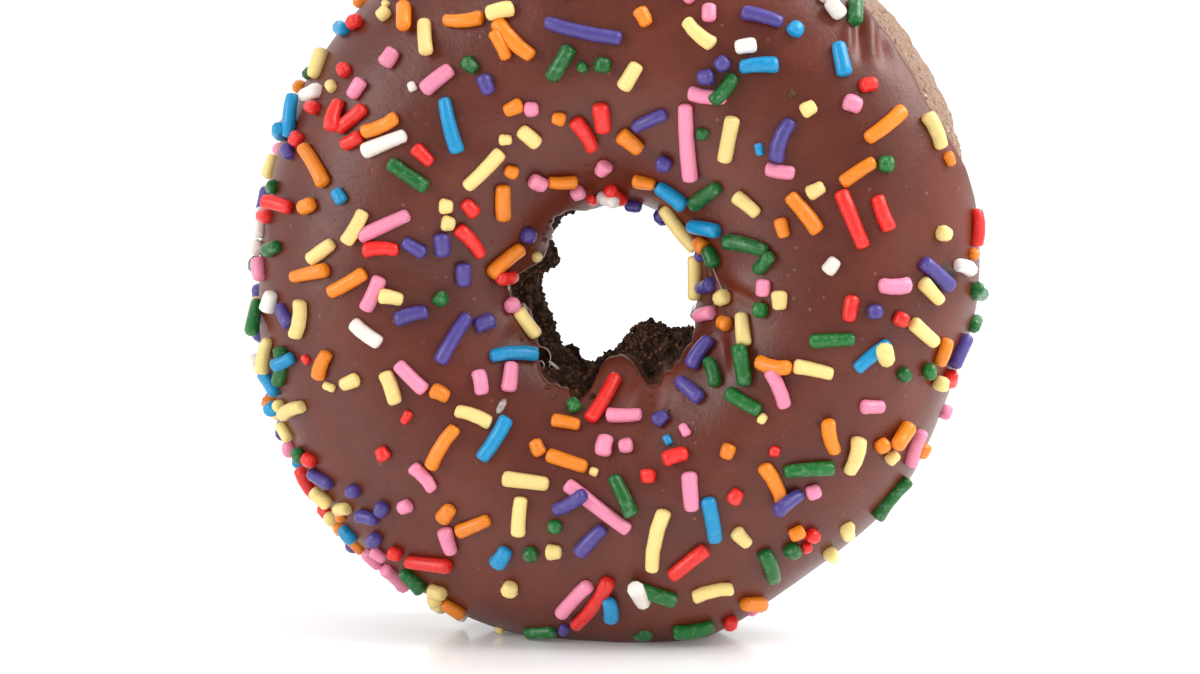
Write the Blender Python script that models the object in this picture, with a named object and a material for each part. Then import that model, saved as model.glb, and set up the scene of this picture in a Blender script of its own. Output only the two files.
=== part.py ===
"""A chocolate cake doughnut with chocolate icing and sugar sprinkles, standing on its edge.

The frame is in metres, with +Z up, the iced face towards -Y and the origin on the floor, below the middle of it all.
A ring angle runs round the doughnut, from +X towards +Z. A tube angle runs round its cross-section: 0 at the
outer rim, 90 on the iced face, 180 in the hole and -90 on the back. Both are in degrees.
"""

import math
import random
from collections import namedtuple

import bmesh
import bpy
from mathutils import Matrix, Vector, noise

MM = 0.001

# The ring of cake, under its icing
OUTER_RADIUS = 40.8 * MM
HOLE_RADIUS = 10.3 * MM
MIDDLE_RADIUS = 25.8 * MM
FRONT_DEPTH = 13.8 * MM
BACK_DEPTH = 14.2 * MM
SQUARENESS = 2.25  # 2 is a round cross-section, and more is flatter on its faces
CENTRE = Vector((1.0, 2.0, 42.9)) * MM
HOLE_SHIFT = Vector((0.8, 0.0, -1.3)) * MM  # the hole is off the ring's centre

# Where the outline stands out or falls back: ring angle, spread in degrees, height in mm
OUTLINE_SWELLS = (
    (8, 16, -0.9),
    (42, 44, 2.4),
    (142, 40, 0.9),
    (185, 24, 0.6),
    (226, 50, 2.9),
    (252, 18, 1.3),
    (276, 28, 2.6),
    (308, 24, -0.6),
    (341, 26, -1.7),
)
# Lumps of cake that narrow the hole: ring angle, spread, tube angle, spread, height in mm
HOLE_LUMPS = (
    (176, 17, 200, 60, 2.0),
    (251, 10, 195, 70, -0.8),
    (289, 42, 190, 75, 5.0),
)
UNEVEN = 0.55 * MM  # slow rise and fall of the whole surface
UNEVEN_SIZE = 17 * MM
CRAG = 1.5 * MM  # depth of the torn crumb in the hole
CRAG_SIZE = 3.6 * MM
CRUST_SHARE = 0.3  # how much of that shows on the fried crust
CRUMB_FADE = 8 * MM  # distance over which the crust turns to crumb, from the ring's middle towards the hole

# The icing
ICING = 1.6 * MM  # from the cake to the icing's face
GAP = 0.42 * MM
BEAD = 1.3 * MM  # how far in from its edge the icing reaches full thickness
EDGE_SHARE = 0.45  # how thick it is at the edge itself
BARE = 9  # degrees past the icing's edge over which the bare crumb reaches its full roughness
EDGE_WOBBLE = 2.5  # small uneven waves of both edges, in degrees
WOBBLES = 4.0  # how closely they follow each other
OUTER_EDGE = -19  # tube angle
# Where the icing ends sooner, above 0, or runs on over the rim: ring angle, spread, degrees
OUTER_EDGE_WAVES = (
    (30, 34, 49),
    (64, 34, 43),
    (110, 22, -7),
    (150, 20, 6),
    (188, 24, -8),
    (232, 20, 5),
    (262, 26, -6),
    (318, 24, -9),
    (345, 14, 4),
)
INNER_EDGE = 168
INNER_EDGE_WAVES = (
    (60, 30, 10),
    (104, 24, 8),
    (133, 22, -9),
    (188, 20, -22),
    (208, 20, -9),
    (243, 38, -30),
    (259, 10, -14),
    (273, 14, -6),
    (293, 8, -6),
    (302, 36, -27),
    (326, 14, -8),
)

# The sprinkles
SEED = 11
SCATTERED = 370
SPRINKLE_RADIUS = 0.9 * MM
SUNK = 0.4 * MM  # how deep they sit in the icing, or in the one that they lie across
FOOT = 5 * MM  # none lie this near the middle of the flat that it stands on
PRESSED = 0.6  # how far a straight one is pressed in where the icing curves, from lying on its ends
SHORTEST = 1.6 * MM
LONGEST = 5.2 * MM  # of the scattered ones
FROM_EDGE = 6.0  # how far the placed ones keep from the icing's edge in the hole, in degrees
POINT = 0.55  # how far their pointed ends reach, as a share of their radius
STACKED = 0.45  # share of those that would cross another and then lie on top of it
IN_THE_SOLID = 168  # the largest ones are fused to the icing
COLOURS = {
    "red": ((0.70, 0.022, 0.018), 13),
    "orange": ((0.89, 0.19, 0.008), 14),
    "yellow": ((0.92, 0.62, 0.16), 19),
    "green": ((0.010, 0.155, 0.030), 12),
    "blue": ((0.006, 0.25, 0.60), 8),
    "purple": ((0.070, 0.050, 0.31), 12),
    "pink": ((0.85, 0.15, 0.34), 15),
    "white": ((0.87, 0.80, 0.75), 7),
}
# Where they lie more or less thickly: ring angle, spread, tube angle, spread, how many times more
CLUMPS = (
    (206, 42, 10, 44, 3.4),
    (0, 360, 150, 28, 0.7),
    (80, 80, 90, 140, 0.3),
    (190, 32, 100, 45, -0.55),
    (12, 30, 35, 40, -0.5),
)
CROWDED = 4.4  # how many times more there are at the most
BARE_RIM = 0.85  # share that the outer rim lacks, away from its clump
# The ones that stand out have their own places: mm right of and above the ring's centre as the photograph shows
# them, heading, length in mm
PLACED = {
    "red": (
        (-3.3, -39.2, 52, 8.8), (27.0, 5.3, -68, 7.0), (-2.0, -15.6, 58, 6.6), (-22.3, -34.5, -8, 6.1),
        (7.9, -34.6, 38, 5.6), (-17.8, 2.9, -50, 4.6), (-31.4, 17.2, 40, 4.4), (30.5, 6.0, -70, 4.2),
        (-28.0, 1.9, 0, 4.2), (-0.6, 8.8, -40, 3.6),
    ),
    "orange": (
        (-12.5, 26.4, -45, 6.1), (-35.7, 11.8, -62, 6.1), (30.7, 16.3, 40, 5.8), (-20.8, -21.2, 58, 5.8),
        (17.8, -25.7, -65, 5.6), (21.4, 6.0, -52, 5.4), (-36.2, -0.8, 12, 5.2), (-13.7, 0.7, 42, 5.2),
        (-6.3, -22.9, -18, 4.9), (-28.1, 16.4, 25, 4.6), (-13.9, 7.5, 90, 4.3),
    ),
    "yellow": (
        (4.3, -32.1, 78, 7.6), (7.3, 4.8, -52, 6.3), (-16.1, 11.3, 45, 5.9), (12.6, 14.7, 80, 5.4),
        (-11.1, -25.2, -8, 5.4), (8.4, -1.1, 78, 5.2), (-37.5, -6.1, 82, 4.6), (22.5, -12.3, -12, 4.6),
        (9.1, 27.0, -42, 4.4), (-11.2, -6.7, -52, 4.0), (-26.9, -14.2, -70, 4.0), (26.3, -30.7, -80, 4.0),
    ),
    "green": (
        (31.4, -26.9, 50, 6.0), (3.7, -38.1, -18, 5.8), (21.9, -23.8, 5, 5.8), (14.8, 2.3, -15, 5.8),
        (-24.9, 10.6, -35, 5.4), (0.2, -26.9, -65, 5.2), (10.1, 8.3, 35, 5.0), (-39.5, -11.5, 86, 5.0),
        (8.4, -42.0, 10, 4.8), (14.4, -16.0, -30, 4.6), (2.3, -42.8, 3, 4.6), (-9.2, -42.6, 0, 4.2),
    ),
    "blue": (
        (-19.9, 16.4, -76, 6.5), (-12.6, -10.4, 5, 5.8), (-14.8, -20.2, 58, 5.8), (10.6, -29.7, -80, 5.4),
        (16.1, 23.2, 2, 4.4), (-1.2, -39.8, -85, 3.8), (25.6, 23.9, -78, 4.0),
    ),
    "purple": (
        (-4.4, 27.4, -12, 9.0), (-19.6, -8.5, 60, 6.6), (18.9, 14.5, 70, 5.1), (16.4, 28.8, -15, 4.8),
        (-3.5, -32.1, 45, 4.6), (39.3, -9.8, 65, 4.2), (9.5, -10.3, 55, 4.2), (8.1, -14.6, -40, 4.0),
    ),
    "pink": (
        (7.9, 14.4, -85, 9.2), (-2.7, -28.2, -37, 9.0), (-27.7, 4.7, 25, 6.5), (-5.4, -38.8, 45, 6.3),
        (-24.5, -13.0, -45, 4.6), (10.1, 19.8, -8, 4.4), (10.1, -5.7, 12, 3.4),
    ),
    "white": (
        (-27.6, 14.3, 22, 5.6), (-20.3, -40.8, -5, 4.4), (-35.9, 20.2, 20, 4.2), (-29.7, -7.8, -38, 4.2),
        (39.7, -0.2, -20, 3.8),
    ),
}
AZIMUTH = 9  # of the photograph's view, in degrees to the right of the axis
ELEVATION = 5
DISTANCE = 390 * MM

# Mesh steps
CAKE_STEPS = (60, 20)
ICING_STEPS = (60, 14, 12)  # round the ring, across the face, across the underside
SPRINKLE_SIDES = 6

Sprinkle = namedtuple("Sprinkle", "centre axis length radius colour")


def hump(angle, centre, spread):
    """1 at centre, fading smoothly to 0 at spread degrees either side of it."""
    away = abs((angle - centre + 180) % 360 - 180)
    return 0.5 + 0.5 * math.cos(math.pi * away / spread) if away < spread else 0.0


def smooth(share):
    share = min(1.0, max(0.0, share))
    return share * share * (3 - 2 * share)


def outer_edge(ring):
    """The tube angle at which the icing ends on the outer rim."""
    waves = sum(hump(ring, at, spread) * by for at, spread, by in OUTER_EDGE_WAVES)
    return OUTER_EDGE + waves + wobble(ring)


def inner_edge(ring):
    """The tube angle at which the icing ends in the hole."""
    waves = sum(hump(ring, at, spread) * by for at, spread, by in INNER_EDGE_WAVES)
    return INNER_EDGE + waves - wobble(ring)


def outwards(ring):
    """The direction from the ring's centre at a ring angle."""
    return Vector((math.cos(math.radians(ring)), 0, math.sin(math.radians(ring))))


def wobble(ring):
    """A small wave of the icing's edge. Its noise is read on a circle, so that it meets itself after a turn."""
    return EDGE_WOBBLE * noise.noise(outwards(ring) * WOBBLES)


def rounded(share):
    return math.copysign(abs(share) ** (2 / SQUARENESS), share)


def bare_cake(ring, tube):
    """0 under the icing, rising to 1 just past its edge."""
    past = max(outer_edge(ring) - tube, tube - inner_edge(ring))
    return smooth(past / BARE)


def smooth_cake(ring, tube):
    """The cake's surface without its relief, from the ring's centre."""
    outer = OUTER_RADIUS + sum(hump(ring, at, spread) * by * MM for at, spread, by in OUTLINE_SWELLS)
    inner = HOLE_RADIUS + HOLE_SHIFT.dot(outwards(ring))
    lumps = sum(
        hump(ring, at, spread) * hump(tube, across, width) * by * MM
        for at, spread, across, width, by in HOLE_LUMPS
    )
    across = rounded(math.cos(math.radians(tube)))
    along = rounded(math.sin(math.radians(tube)))
    if across > 0:
        radius = MIDDLE_RADIUS + (outer - MIDDLE_RADIUS) * across
    else:
        radius = MIDDLE_RADIUS + (MIDDLE_RADIUS - inner) * across
    depth = (FRONT_DEPTH if along > 0 else BACK_DEPTH) * along
    return outwards(ring) * (radius - lumps) - Vector((0, depth, 0))


def normal(ring, tube):
    step = 1.5
    round_ring = smooth_cake(ring + step, tube) - smooth_cake(ring - step, tube)
    round_tube = smooth_cake(ring, tube + step) - smooth_cake(ring, tube - step)
    return round_ring.cross(round_tube).normalized()


def surface(ring, tube, lift=0.0):
    """The point that lies lift above the cake, pressed flat where the doughnut stands on the floor."""
    point = smooth_cake(ring, tube)
    swell = UNEVEN * noise.noise(point / UNEVEN_SIZE)
    place = CENTRE + point + normal(ring, tube) * (swell + lift)
    place.z = max(place.z, ICING - lift)
    return place


def cake_surface(ring, tube):
    """The cake's own face, with its crumb where it is bare."""
    point = smooth_cake(ring, tube)
    in_the_hole = smooth((MIDDLE_RADIUS - math.hypot(point.x, point.z)) / CRUMB_FADE)
    rough = bare_cake(ring, tube) * (CRUST_SHARE + (1 - CRUST_SHARE) * in_the_hole)
    torn = noise.noise(point / CRAG_SIZE) + 0.5 * noise.noise(point / CRAG_SIZE * 2.1)
    return surface(ring, tube, -rough * CRAG * abs(torn))


def press_torus(name, ring_steps, tube_steps, place):
    """A torus whose points are moved to place(ring angle, step round the tube)."""
    bpy.ops.mesh.primitive_torus_add(
        major_segments=ring_steps,
        minor_segments=tube_steps,
        major_radius=MIDDLE_RADIUS,
        minor_radius=FRONT_DEPTH,
    )
    ring_of_dough = bpy.context.object
    ring_of_dough.name = name
    for vertex in ring_of_dough.data.vertices:
        across = math.hypot(vertex.co.x, vertex.co.y) - MIDDLE_RADIUS
        ring = math.degrees(math.atan2(vertex.co.y, vertex.co.x))
        turn = math.atan2(vertex.co.z, across) / math.tau
        vertex.co = place(ring, round(turn * tube_steps) % tube_steps)
    ring_of_dough.data.shade_smooth()
    return ring_of_dough


def make_cake():
    ring_steps, tube_steps = CAKE_STEPS

    def place(ring, step):
        tube = step * 360 / tube_steps
        return cake_surface(ring, tube - 360 if tube > 270 else tube)

    return press_torus("cake", ring_steps, tube_steps, place)


def make_icing():
    """A torus pressed into a skin: its steps run over the icing's face, then back along its underside."""
    ring_steps, face_steps, under_steps = ICING_STEPS
    bead = math.degrees(BEAD / FRONT_DEPTH)

    def place(ring, step):
        low, high = outer_edge(ring), inner_edge(ring)
        if step > face_steps:
            share = 1 - (step - face_steps) / under_steps
            return surface(ring, low + (high - low) * share, GAP)
        if step in (0, face_steps):
            return surface(ring, high if step else low, GAP + (ICING - GAP) * EDGE_SHARE)
        share = (step - 1) / (face_steps - 2)
        return surface(ring, low + bead + (high - low - 2 * bead) * share, ICING)

    return press_torus("icing", ring_steps, face_steps + under_steps, place)


def crowding(ring, tube):
    """How thickly the sprinkles lie at a place, from 0 to 1."""
    clumps = sum(
        hump(ring, at, spread) * hump(tube, across, width) * by
        for at, spread, across, width, by in CLUMPS
    )
    bare_rim = BARE_RIM * smooth((24 - tube) / 14) * (1 - hump(ring, 200, 90))
    return max(0.0, 1 + clumps - bare_rim) / CROWDED


def ends_of(ring, tube, heading, length):
    """The places of a sprinkle's two ends. Heading 0 runs round the ring, and 90 towards the hole."""
    out = smooth_cake(ring, tube)
    half = math.degrees(length / 2)
    ring_step = half * math.cos(math.radians(heading)) / math.hypot(out.x, out.z)
    tube_step = half * math.sin(math.radians(heading)) / FRONT_DEPTH
    return [(ring + side * ring_step, tube + side * tube_step) for side in (-1, 1)]


def lie(middle, ends, length, radius, colour):
    """A sprinkle that lies on the icing. Its middle and its ends are given by their ring and tube angles."""
    lift = ICING + radius - SUNK
    middle, low, high = [surface(*spot, lift) for spot in (middle, *ends)]
    axis = (high - low).normalized()
    centre = (low + high) / 2
    centre += (middle - centre) * PRESSED
    sprinkle = Sprinkle(centre, axis, length, radius, colour)
    centre.z = max(centre.z, drop(sprinkle))
    return sprinkle


def drop(sprinkle):
    """How far a sprinkle reaches below its centre."""
    slope = abs(sprinkle.axis.z)
    body = sprinkle.length / 2 - sprinkle.radius * POINT
    return max(slope * body + sprinkle.radius * math.sqrt(1 - slope**2), slope * sprinkle.length / 2)


def under_foot(sprinkle):
    """Whether a sprinkle would lie between the floor and the flat that the doughnut stands on, or below it."""
    low = sprinkle.centre.z < 2 * SPRINKLE_RADIUS
    return low and abs(sprinkle.centre.y - CENTRE.y) < FOOT or sprinkle.centre.z < drop(sprinkle)


def gap_between(one, other):
    """The gap between two sprinkles, measured at five places along each, and the offset there along the first."""
    best = (1.0, 0.0)
    if (one.centre - other.centre).length > (one.length + other.length) / 2:
        return best
    for i in range(5):
        along = (i / 4 - 0.5) * (one.length - one.radius)
        point = one.centre + one.axis * along
        reach = (other.length - other.radius) / 2
        shift = min(reach, max(-reach, (point - other.centre).dot(other.axis)))
        gap = (point - other.centre - other.axis * shift).length - one.radius - other.radius
        best = min(best, (gap, along))
    return best


def rest_on(sprinkle, gap, along, up):
    """The sprinkle tipped up, so that it lies across another one and its farther end in the icing."""
    apart = 2 * SPRINKLE_RADIUS
    rise = math.sqrt(max(0.0, (apart - SUNK) ** 2 - (apart + gap) ** 2))
    far = -math.copysign(sprinkle.length / 2, along)
    lean = math.copysign(rise / abs(along - far), along)
    axis = (sprinkle.axis + up * lean).normalized()
    foot = sprinkle.centre + sprinkle.axis * far - up * SUNK / 2
    return sprinkle._replace(centre=foot - axis * far, axis=axis)


def settle(sprinkle, up, found):
    """The sprinkle, laid on the one that it would cross, or None where it would cross two."""
    gaps = sorted(gap_between(sprinkle, other) for other in found)
    if sum(gap < 0 for gap, _ in gaps) > 1:
        return None
    return rest_on(sprinkle, *gaps[0], up) if gaps and gaps[0][0] < 0 else sprinkle


def on_face(aim):
    """The ring and tube angles of the icing's face straight behind a point of the ring's middle plane."""
    ring = math.degrees(math.atan2(aim.z, aim.x))
    low, high = 0.0, inner_edge(ring) - FROM_EDGE
    while high - low > 0.2:
        tube = (low + high) / 2
        place = surface(ring, tube, ICING) - CENTRE
        low, high = (tube, high) if math.hypot(place.x, place.z) > math.hypot(aim.x, aim.z) else (low, tube)
    return ring, low


def in_view(place):
    """Where a place shows in the photograph: x to the right of the ring's centre, and z above it."""
    azimuth, elevation = math.radians(AZIMUTH), math.radians(ELEVATION)
    right = Vector((math.cos(azimuth), math.sin(azimuth), 0))
    back = Vector((math.sin(azimuth), -math.cos(azimuth), math.tan(elevation))).normalized()
    out = place - CENTRE
    nearer = DISTANCE / (DISTANCE - back.dot(out))
    return Vector((right.dot(out), 0, back.cross(right).dot(out))) * nearer


def behind(x, z):
    """The ring and tube angles of the icing's face that shows at x and z in the photograph."""
    wanted = Vector((x, 0, z))
    aim = wanted.copy()
    for _ in range(5):
        spot = on_face(aim)
        aim += wanted - in_view(surface(*spot, ICING))
    return spot


def placed_sprinkles():
    found = []
    for colour, rows in PLACED.items():
        for x, z, heading, length in rows:
            run = Vector((math.cos(math.radians(heading)), math.sin(math.radians(heading)))) * length / 2
            ends = [behind((x + side * run.x) * MM, (z + side * run.y) * MM) for side in (-1, 1)]
            middle = behind(x * MM, z * MM)
            sprinkle = lie(middle, ends, length * MM, SPRINKLE_RADIUS, colour)
            found.append(settle(sprinkle, normal(*middle), found) or sprinkle)
    return found


def scattered_sprinkle(draw):
    """One place and one sprinkle for it, or None where the draw falls on a thin spot."""
    ring = draw.uniform(0, 360)
    tube = draw.uniform(-26, 192)
    heading = draw.uniform(0, 180)
    size = draw.random()
    radius = SPRINKLE_RADIUS * draw.uniform(0.88, 1.1)
    chance = draw.random()
    colour = draw.choices(list(COLOURS), [share for _, share in COLOURS.values()])[0]
    stays = draw.random() < STACKED
    length = SHORTEST + (LONGEST - SHORTEST) * size**2
    ends = ends_of(ring, tube, heading, length)
    if not all(outer_edge(end[0]) + 3 < end[1] < inner_edge(end[0]) - 2 for end in ends):
        return None
    out = smooth_cake(ring, tube)
    if chance > crowding(ring, tube) * math.hypot(out.x, out.z) / OUTER_RADIUS:
        return None
    return lie((ring, tube), ends, length, radius, colour), normal(ring, tube), stays


def all_sprinkles():
    """Every sprinkle, the largest first. None of them crosses another, apart from those that lie on one."""
    draw = random.Random(SEED)
    found = placed_sprinkles()
    count = len(found) + SCATTERED
    while len(found) < count:
        drawn = scattered_sprinkle(draw)
        if drawn is None:
            continue
        sprinkle, up, stays = drawn
        settled = settle(sprinkle, up, found)
        if settled and (stays or settled is sprinkle) and not under_foot(settled):
            found.append(settled)
    return sorted(found, key=lambda sprinkle: -sprinkle.length)


def make_material(name, colour, roughness):
    material = bpy.data.materials.new(name)
    material.use_nodes = True
    shader = material.node_tree.nodes["Principled BSDF"]
    shader.inputs["Base Color"].default_value = (*colour, 1)
    shader.inputs["Roughness"].default_value = roughness
    shader.inputs["Metallic"].default_value = 0
    material.diffuse_color = (*colour, 1)
    return material


def make_sprinkle(sprinkle, number, materials, collection):
    """A six-sided stick with pointed ends."""
    shape = bmesh.new()
    point = sprinkle.radius * POINT
    bmesh.ops.create_cone(
        shape,
        cap_ends=True,
        segments=SPRINKLE_SIDES,
        radius1=sprinkle.radius,
        radius2=sprinkle.radius,
        depth=sprinkle.length - 2 * point,
    )
    ends = [face for face in shape.faces if len(face.verts) == SPRINKLE_SIDES]
    bmesh.ops.poke(shape, faces=ends, offset=point)
    mesh = bpy.data.meshes.new(f"sprinkle_{number}")
    turn = sprinkle.axis.to_track_quat("Z", "Y").to_matrix().to_4x4()
    bmesh.ops.transform(shape, matrix=Matrix.Translation(sprinkle.centre) @ turn, verts=shape.verts)
    shape.to_mesh(mesh)
    shape.free()
    mesh.materials.append(materials[sprinkle.colour])
    collection.objects.link(bpy.data.objects.new(mesh.name, mesh))


def fuse_sprinkles(icing, sprinkles):
    """Joins the sprinkles to the icing with one Boolean, and removes their own objects."""
    loose = bpy.data.collections.new("loose_sprinkles")
    bpy.context.scene.collection.children.link(loose)
    materials = {name: make_material(name, colour, 0.5) for name, (colour, _) in COLOURS.items()}
    for number, sprinkle in enumerate(sprinkles):
        make_sprinkle(sprinkle, number, materials, loose)
    join = icing.modifiers.new("fuse", "BOOLEAN")
    join.operation = "UNION"
    join.operand_type = "COLLECTION"
    join.collection = loose
    join.material_mode = "TRANSFER"
    bpy.context.view_layer.objects.active = icing
    bpy.ops.object.modifier_apply(modifier=join.name)
    for stick in list(loose.objects):
        bpy.data.objects.remove(stick)
    bpy.data.collections.remove(loose)


def main():
    for old in list(bpy.data.objects):
        bpy.data.objects.remove(old)
    doughnut = bpy.data.collections.new("doughnut")
    bpy.context.scene.collection.children.link(doughnut)
    layer = bpy.context.view_layer.layer_collection.children[doughnut.name]
    bpy.context.view_layer.active_layer_collection = layer

    cake = make_cake()
    cake.data.materials.append(make_material("cake", (0.075, 0.032, 0.016), 0.85))
    icing = make_icing()
    icing.data.materials.append(make_material("icing", (0.155, 0.052, 0.038), 0.42))
    fuse_sprinkles(icing, all_sprinkles()[:IN_THE_SOLID])


main()
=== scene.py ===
"""Chocolate doughnut: fried cake, set icing, sprinkles, crumbs and threads of glaze, on a white table.

Lengths are in metres, and MM turns millimetres into them. A ring angle runs round the doughnut, from +X
towards +Z. A tube angle runs round its cross-section: 0 at the outer rim, 90 on the iced face, 180 in the
hole and -90 on the back. Both are in degrees.
"""

import functools
import math
import random
from collections import namedtuple

import bmesh
import bpy
from bpy.props import FloatProperty, FloatVectorProperty, IntProperty, PointerProperty
from mathutils import Matrix, Vector, noise


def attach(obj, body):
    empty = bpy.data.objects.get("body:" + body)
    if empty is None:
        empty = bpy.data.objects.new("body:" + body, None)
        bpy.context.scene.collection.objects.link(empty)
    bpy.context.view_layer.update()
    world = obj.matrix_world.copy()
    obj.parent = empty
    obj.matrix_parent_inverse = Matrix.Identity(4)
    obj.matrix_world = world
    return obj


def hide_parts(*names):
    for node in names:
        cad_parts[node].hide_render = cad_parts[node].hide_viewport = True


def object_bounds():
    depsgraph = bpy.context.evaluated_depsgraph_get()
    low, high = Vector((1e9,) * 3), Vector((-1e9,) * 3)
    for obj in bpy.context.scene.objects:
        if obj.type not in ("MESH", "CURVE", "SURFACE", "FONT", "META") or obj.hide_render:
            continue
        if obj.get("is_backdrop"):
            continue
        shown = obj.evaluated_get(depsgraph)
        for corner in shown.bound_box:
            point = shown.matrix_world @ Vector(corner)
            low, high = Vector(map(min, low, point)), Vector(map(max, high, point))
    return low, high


bl_info = {
    "name": "Chocolate doughnut",
    "version": (1, 0, 0),
    "blender": (4, 5, 0),
    "location": "3D View > Sidebar > Doughnut",
    "description": "Fried chocolate cake, icing, sprinkles, crumbs and a table to stand it on",
    "category": "Add Mesh",
}

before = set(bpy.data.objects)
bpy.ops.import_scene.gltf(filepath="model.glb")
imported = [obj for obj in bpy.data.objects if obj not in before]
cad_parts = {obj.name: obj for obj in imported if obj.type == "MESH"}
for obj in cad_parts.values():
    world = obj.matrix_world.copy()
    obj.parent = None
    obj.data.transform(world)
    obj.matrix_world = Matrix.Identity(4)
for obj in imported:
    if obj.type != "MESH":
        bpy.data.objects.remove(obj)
CAD_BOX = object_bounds()
MM = 0.001

# The ring of cake, under its icing
OUTER_RADIUS = 40.8 * MM
HOLE_RADIUS = 10.3 * MM
MIDDLE_RADIUS = 25.8 * MM
FRONT_DEPTH = 13.8 * MM
BACK_DEPTH = 14.2 * MM
SQUARENESS = 2.25  # 2 is a round cross-section, and more is flatter on its faces
CENTRE = Vector((1.0, 2.0, 42.9)) * MM
HOLE_SHIFT = Vector((0.8, 0.0, -1.3)) * MM  # the hole is off the ring's centre

# Where the outline stands out or falls back: ring angle, spread in degrees, height in mm
OUTLINE_SWELLS = (
    (8, 16, -0.9),
    (42, 44, 2.4),
    (142, 40, 0.9),
    (185, 24, 0.6),
    (226, 50, 2.9),
    (252, 18, 1.3),
    (276, 28, 2.6),
    (308, 24, -0.6),
    (341, 26, -1.7),
)
# Lumps of cake that narrow the hole: ring angle, spread, tube angle, spread, height in mm
HOLE_LUMPS = (
    (176, 17, 200, 60, 2.0),
    (251, 10, 195, 70, -0.8),
    (289, 42, 190, 75, 5.0),
)
UNEVEN = 0.55 * MM  # slow rise and fall of the whole surface
UNEVEN_SIZE = 17 * MM
CRAG = 1.5 * MM  # depth of the torn crumb in the hole
CRAG_SIZE = 3.6 * MM
CRUST_SHARE = 0.3  # how much of that shows on the fried crust
CRUMB_FADE = 8 * MM  # distance over which crust turns to crumb, from the ring's middle towards the hole

# The crumb and crust, seen close
GRAIN = 1.25 * MM  # the crumb's grains
FINE_GRAIN = 0.55 * MM
PIT = 1.3 * MM  # depth of the pits between clumps of crumb in the hole
PIT_SIZE = 3.1 * MM
CRACK = 0.7 * MM  # depth of the cracks in the fried back
CRACK_SIZE = 8.5 * MM
CRACK_WIDTH = 0.1
CRACK_BEND = 0.35  # how far the cracks stray from a smooth line, as a share of their size
# Where the noise is read that bends them: one place for each axis
CRACK_SHIFTS = (Vector((9.3, 1.5, 7.9)), Vector((0.0, 4.7, 2.2)), Vector((6.3, 0.2, 2.7)))
CRACKED = 200  # tube angle from which the back is cracked, up to its middle
CRACK_FADE = 15  # degrees over which the cracks begin there
# The pale band's colour is partly the crust's own paler colour and partly painted rim light.
PALE_AND_LIT_BAND = (8, 52)  # tube angle in the middle of the paler crust, and its spread
# Gaps where the icing has come away from the rim: ring angle, spread in degrees, depth in mm
GAPS = (
    (33.5, 8, 1.3),
    (21.0, 6, 0.8),
    (58.0, 10, 0.6),
    (88.0, 7, 0.7),
)
GAP_WIDTH = 6.5  # how far a gap reaches across the rim either side of its middle, in degrees

# The icing
ICING = 1.6 * MM  # from the cake to the icing's face
BEAD = 1.3 * MM  # how far in from its edge the icing reaches full thickness
BURIED = -0.25 * MM  # its underside sits in the cake
BARE = 9  # degrees past the icing's edge over which the bare crumb reaches its full roughness
EDGE_WOBBLE = 2.5  # small uneven waves of both edges, in degrees
WOBBLES = 4.0  # how closely they follow each other
RAGGED = 1.6  # the finer waves of both edges, in degrees
RAGS = 13.0
OUTER_EDGE = -19  # tube angle
# Where the icing ends sooner, above 0, or runs on over the rim: ring angle, spread, degrees
OUTER_EDGE_WAVES = (
    (30, 34, 49),
    (64, 34, 43),
    (110, 22, -7),
    (150, 20, 6),
    (188, 24, -8),
    (232, 20, 5),
    (262, 26, -6),
    (318, 24, -9),
    (345, 14, 4),
)
INNER_EDGE = 168
INNER_EDGE_WAVES = (
    (60, 30, 10),
    (104, 24, 8),
    (133, 22, -9),
    (188, 20, -22),
    (208, 20, -9),
    (243, 38, -30),
    (259, 10, -14),
    (273, 14, -6),
    (293, 8, -6),
    (302, 36, -27),
    (326, 14, -8),
)
RIPPLE_SIZE = 8 * MM
FINE_RIPPLE_SIZE = 2.6 * MM
# Ridges, above 0, and grooves of the set icing: mm right of and above the ring's centre, the heading that
# they run along, length and half width in mm, height in mm
FOLDS = (
    (28.0, 26.8, -84, 9.0, 0.55, -0.42),
    (26.9, 26.3, -88, 8.0, 0.5, 0.30),
    (29.3, 26.4, -80, 8.0, 0.55, 0.36),
    (30.4, 25.2, -70, 6.0, 0.8, -0.38),
    (37.6, 14.6, -62, 6.5, 0.8, -0.34),
    (36.6, 14.9, -62, 7.0, 0.7, 0.22),
    (16.4, -2.0, -28, 9.0, 0.9, -0.36),
    (16.9, -1.0, -28, 10.0, 1.1, 0.30),
    (14.3, -9.0, -88, 7.5, 0.9, -0.34),
    (15.9, -9.4, -86, 8.0, 1.0, 0.22),
    (7.0, -15.2, -130, 10.0, 1.3, -0.40),
    (8.9, -13.2, -128, 10.0, 1.3, 0.34),
    (4.2, -14.6, -120, 7.0, 1.1, 0.28),
    (0.6, -11.6, -100, 6.0, 1.2, 0.30),
    (13.6, -0.6, -78, 8.0, 0.4, 0.22),
    (12.6, 0.2, -80, 8.0, 0.4, 0.20),
    (-39.6, 8.0, -80, 8.0, 0.7, -0.3),
    (-38.9, 6.0, -84, 8.0, 0.8, 0.24),
    (-12.6, -6.4, 55, 7.0, 1.2, 0.24),
    (-14.4, 13.0, 40, 9.0, 1.6, 0.18),
    (34.6, -12.6, 64, 10.0, 1.5, -0.22),
    (-20.4, -26.0, -35, 12.0, 1.9, 0.14),
)
# Pinholes where air has come through the icing: mm right of and above the ring's centre, radius and depth
# in mm
PINHOLES = (
    (37.6, 0.2, 0.42, 0.9),
    (37.2, 1.1, 0.3, 0.6),
    (24.6, -16.0, 0.2, 0.3),
    (-25.4, -11.6, 0.22, 0.3),
    (-6.2, 24.6, 0.2, 0.3),
    (19.6, -19.4, 0.18, 0.25),
)

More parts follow.
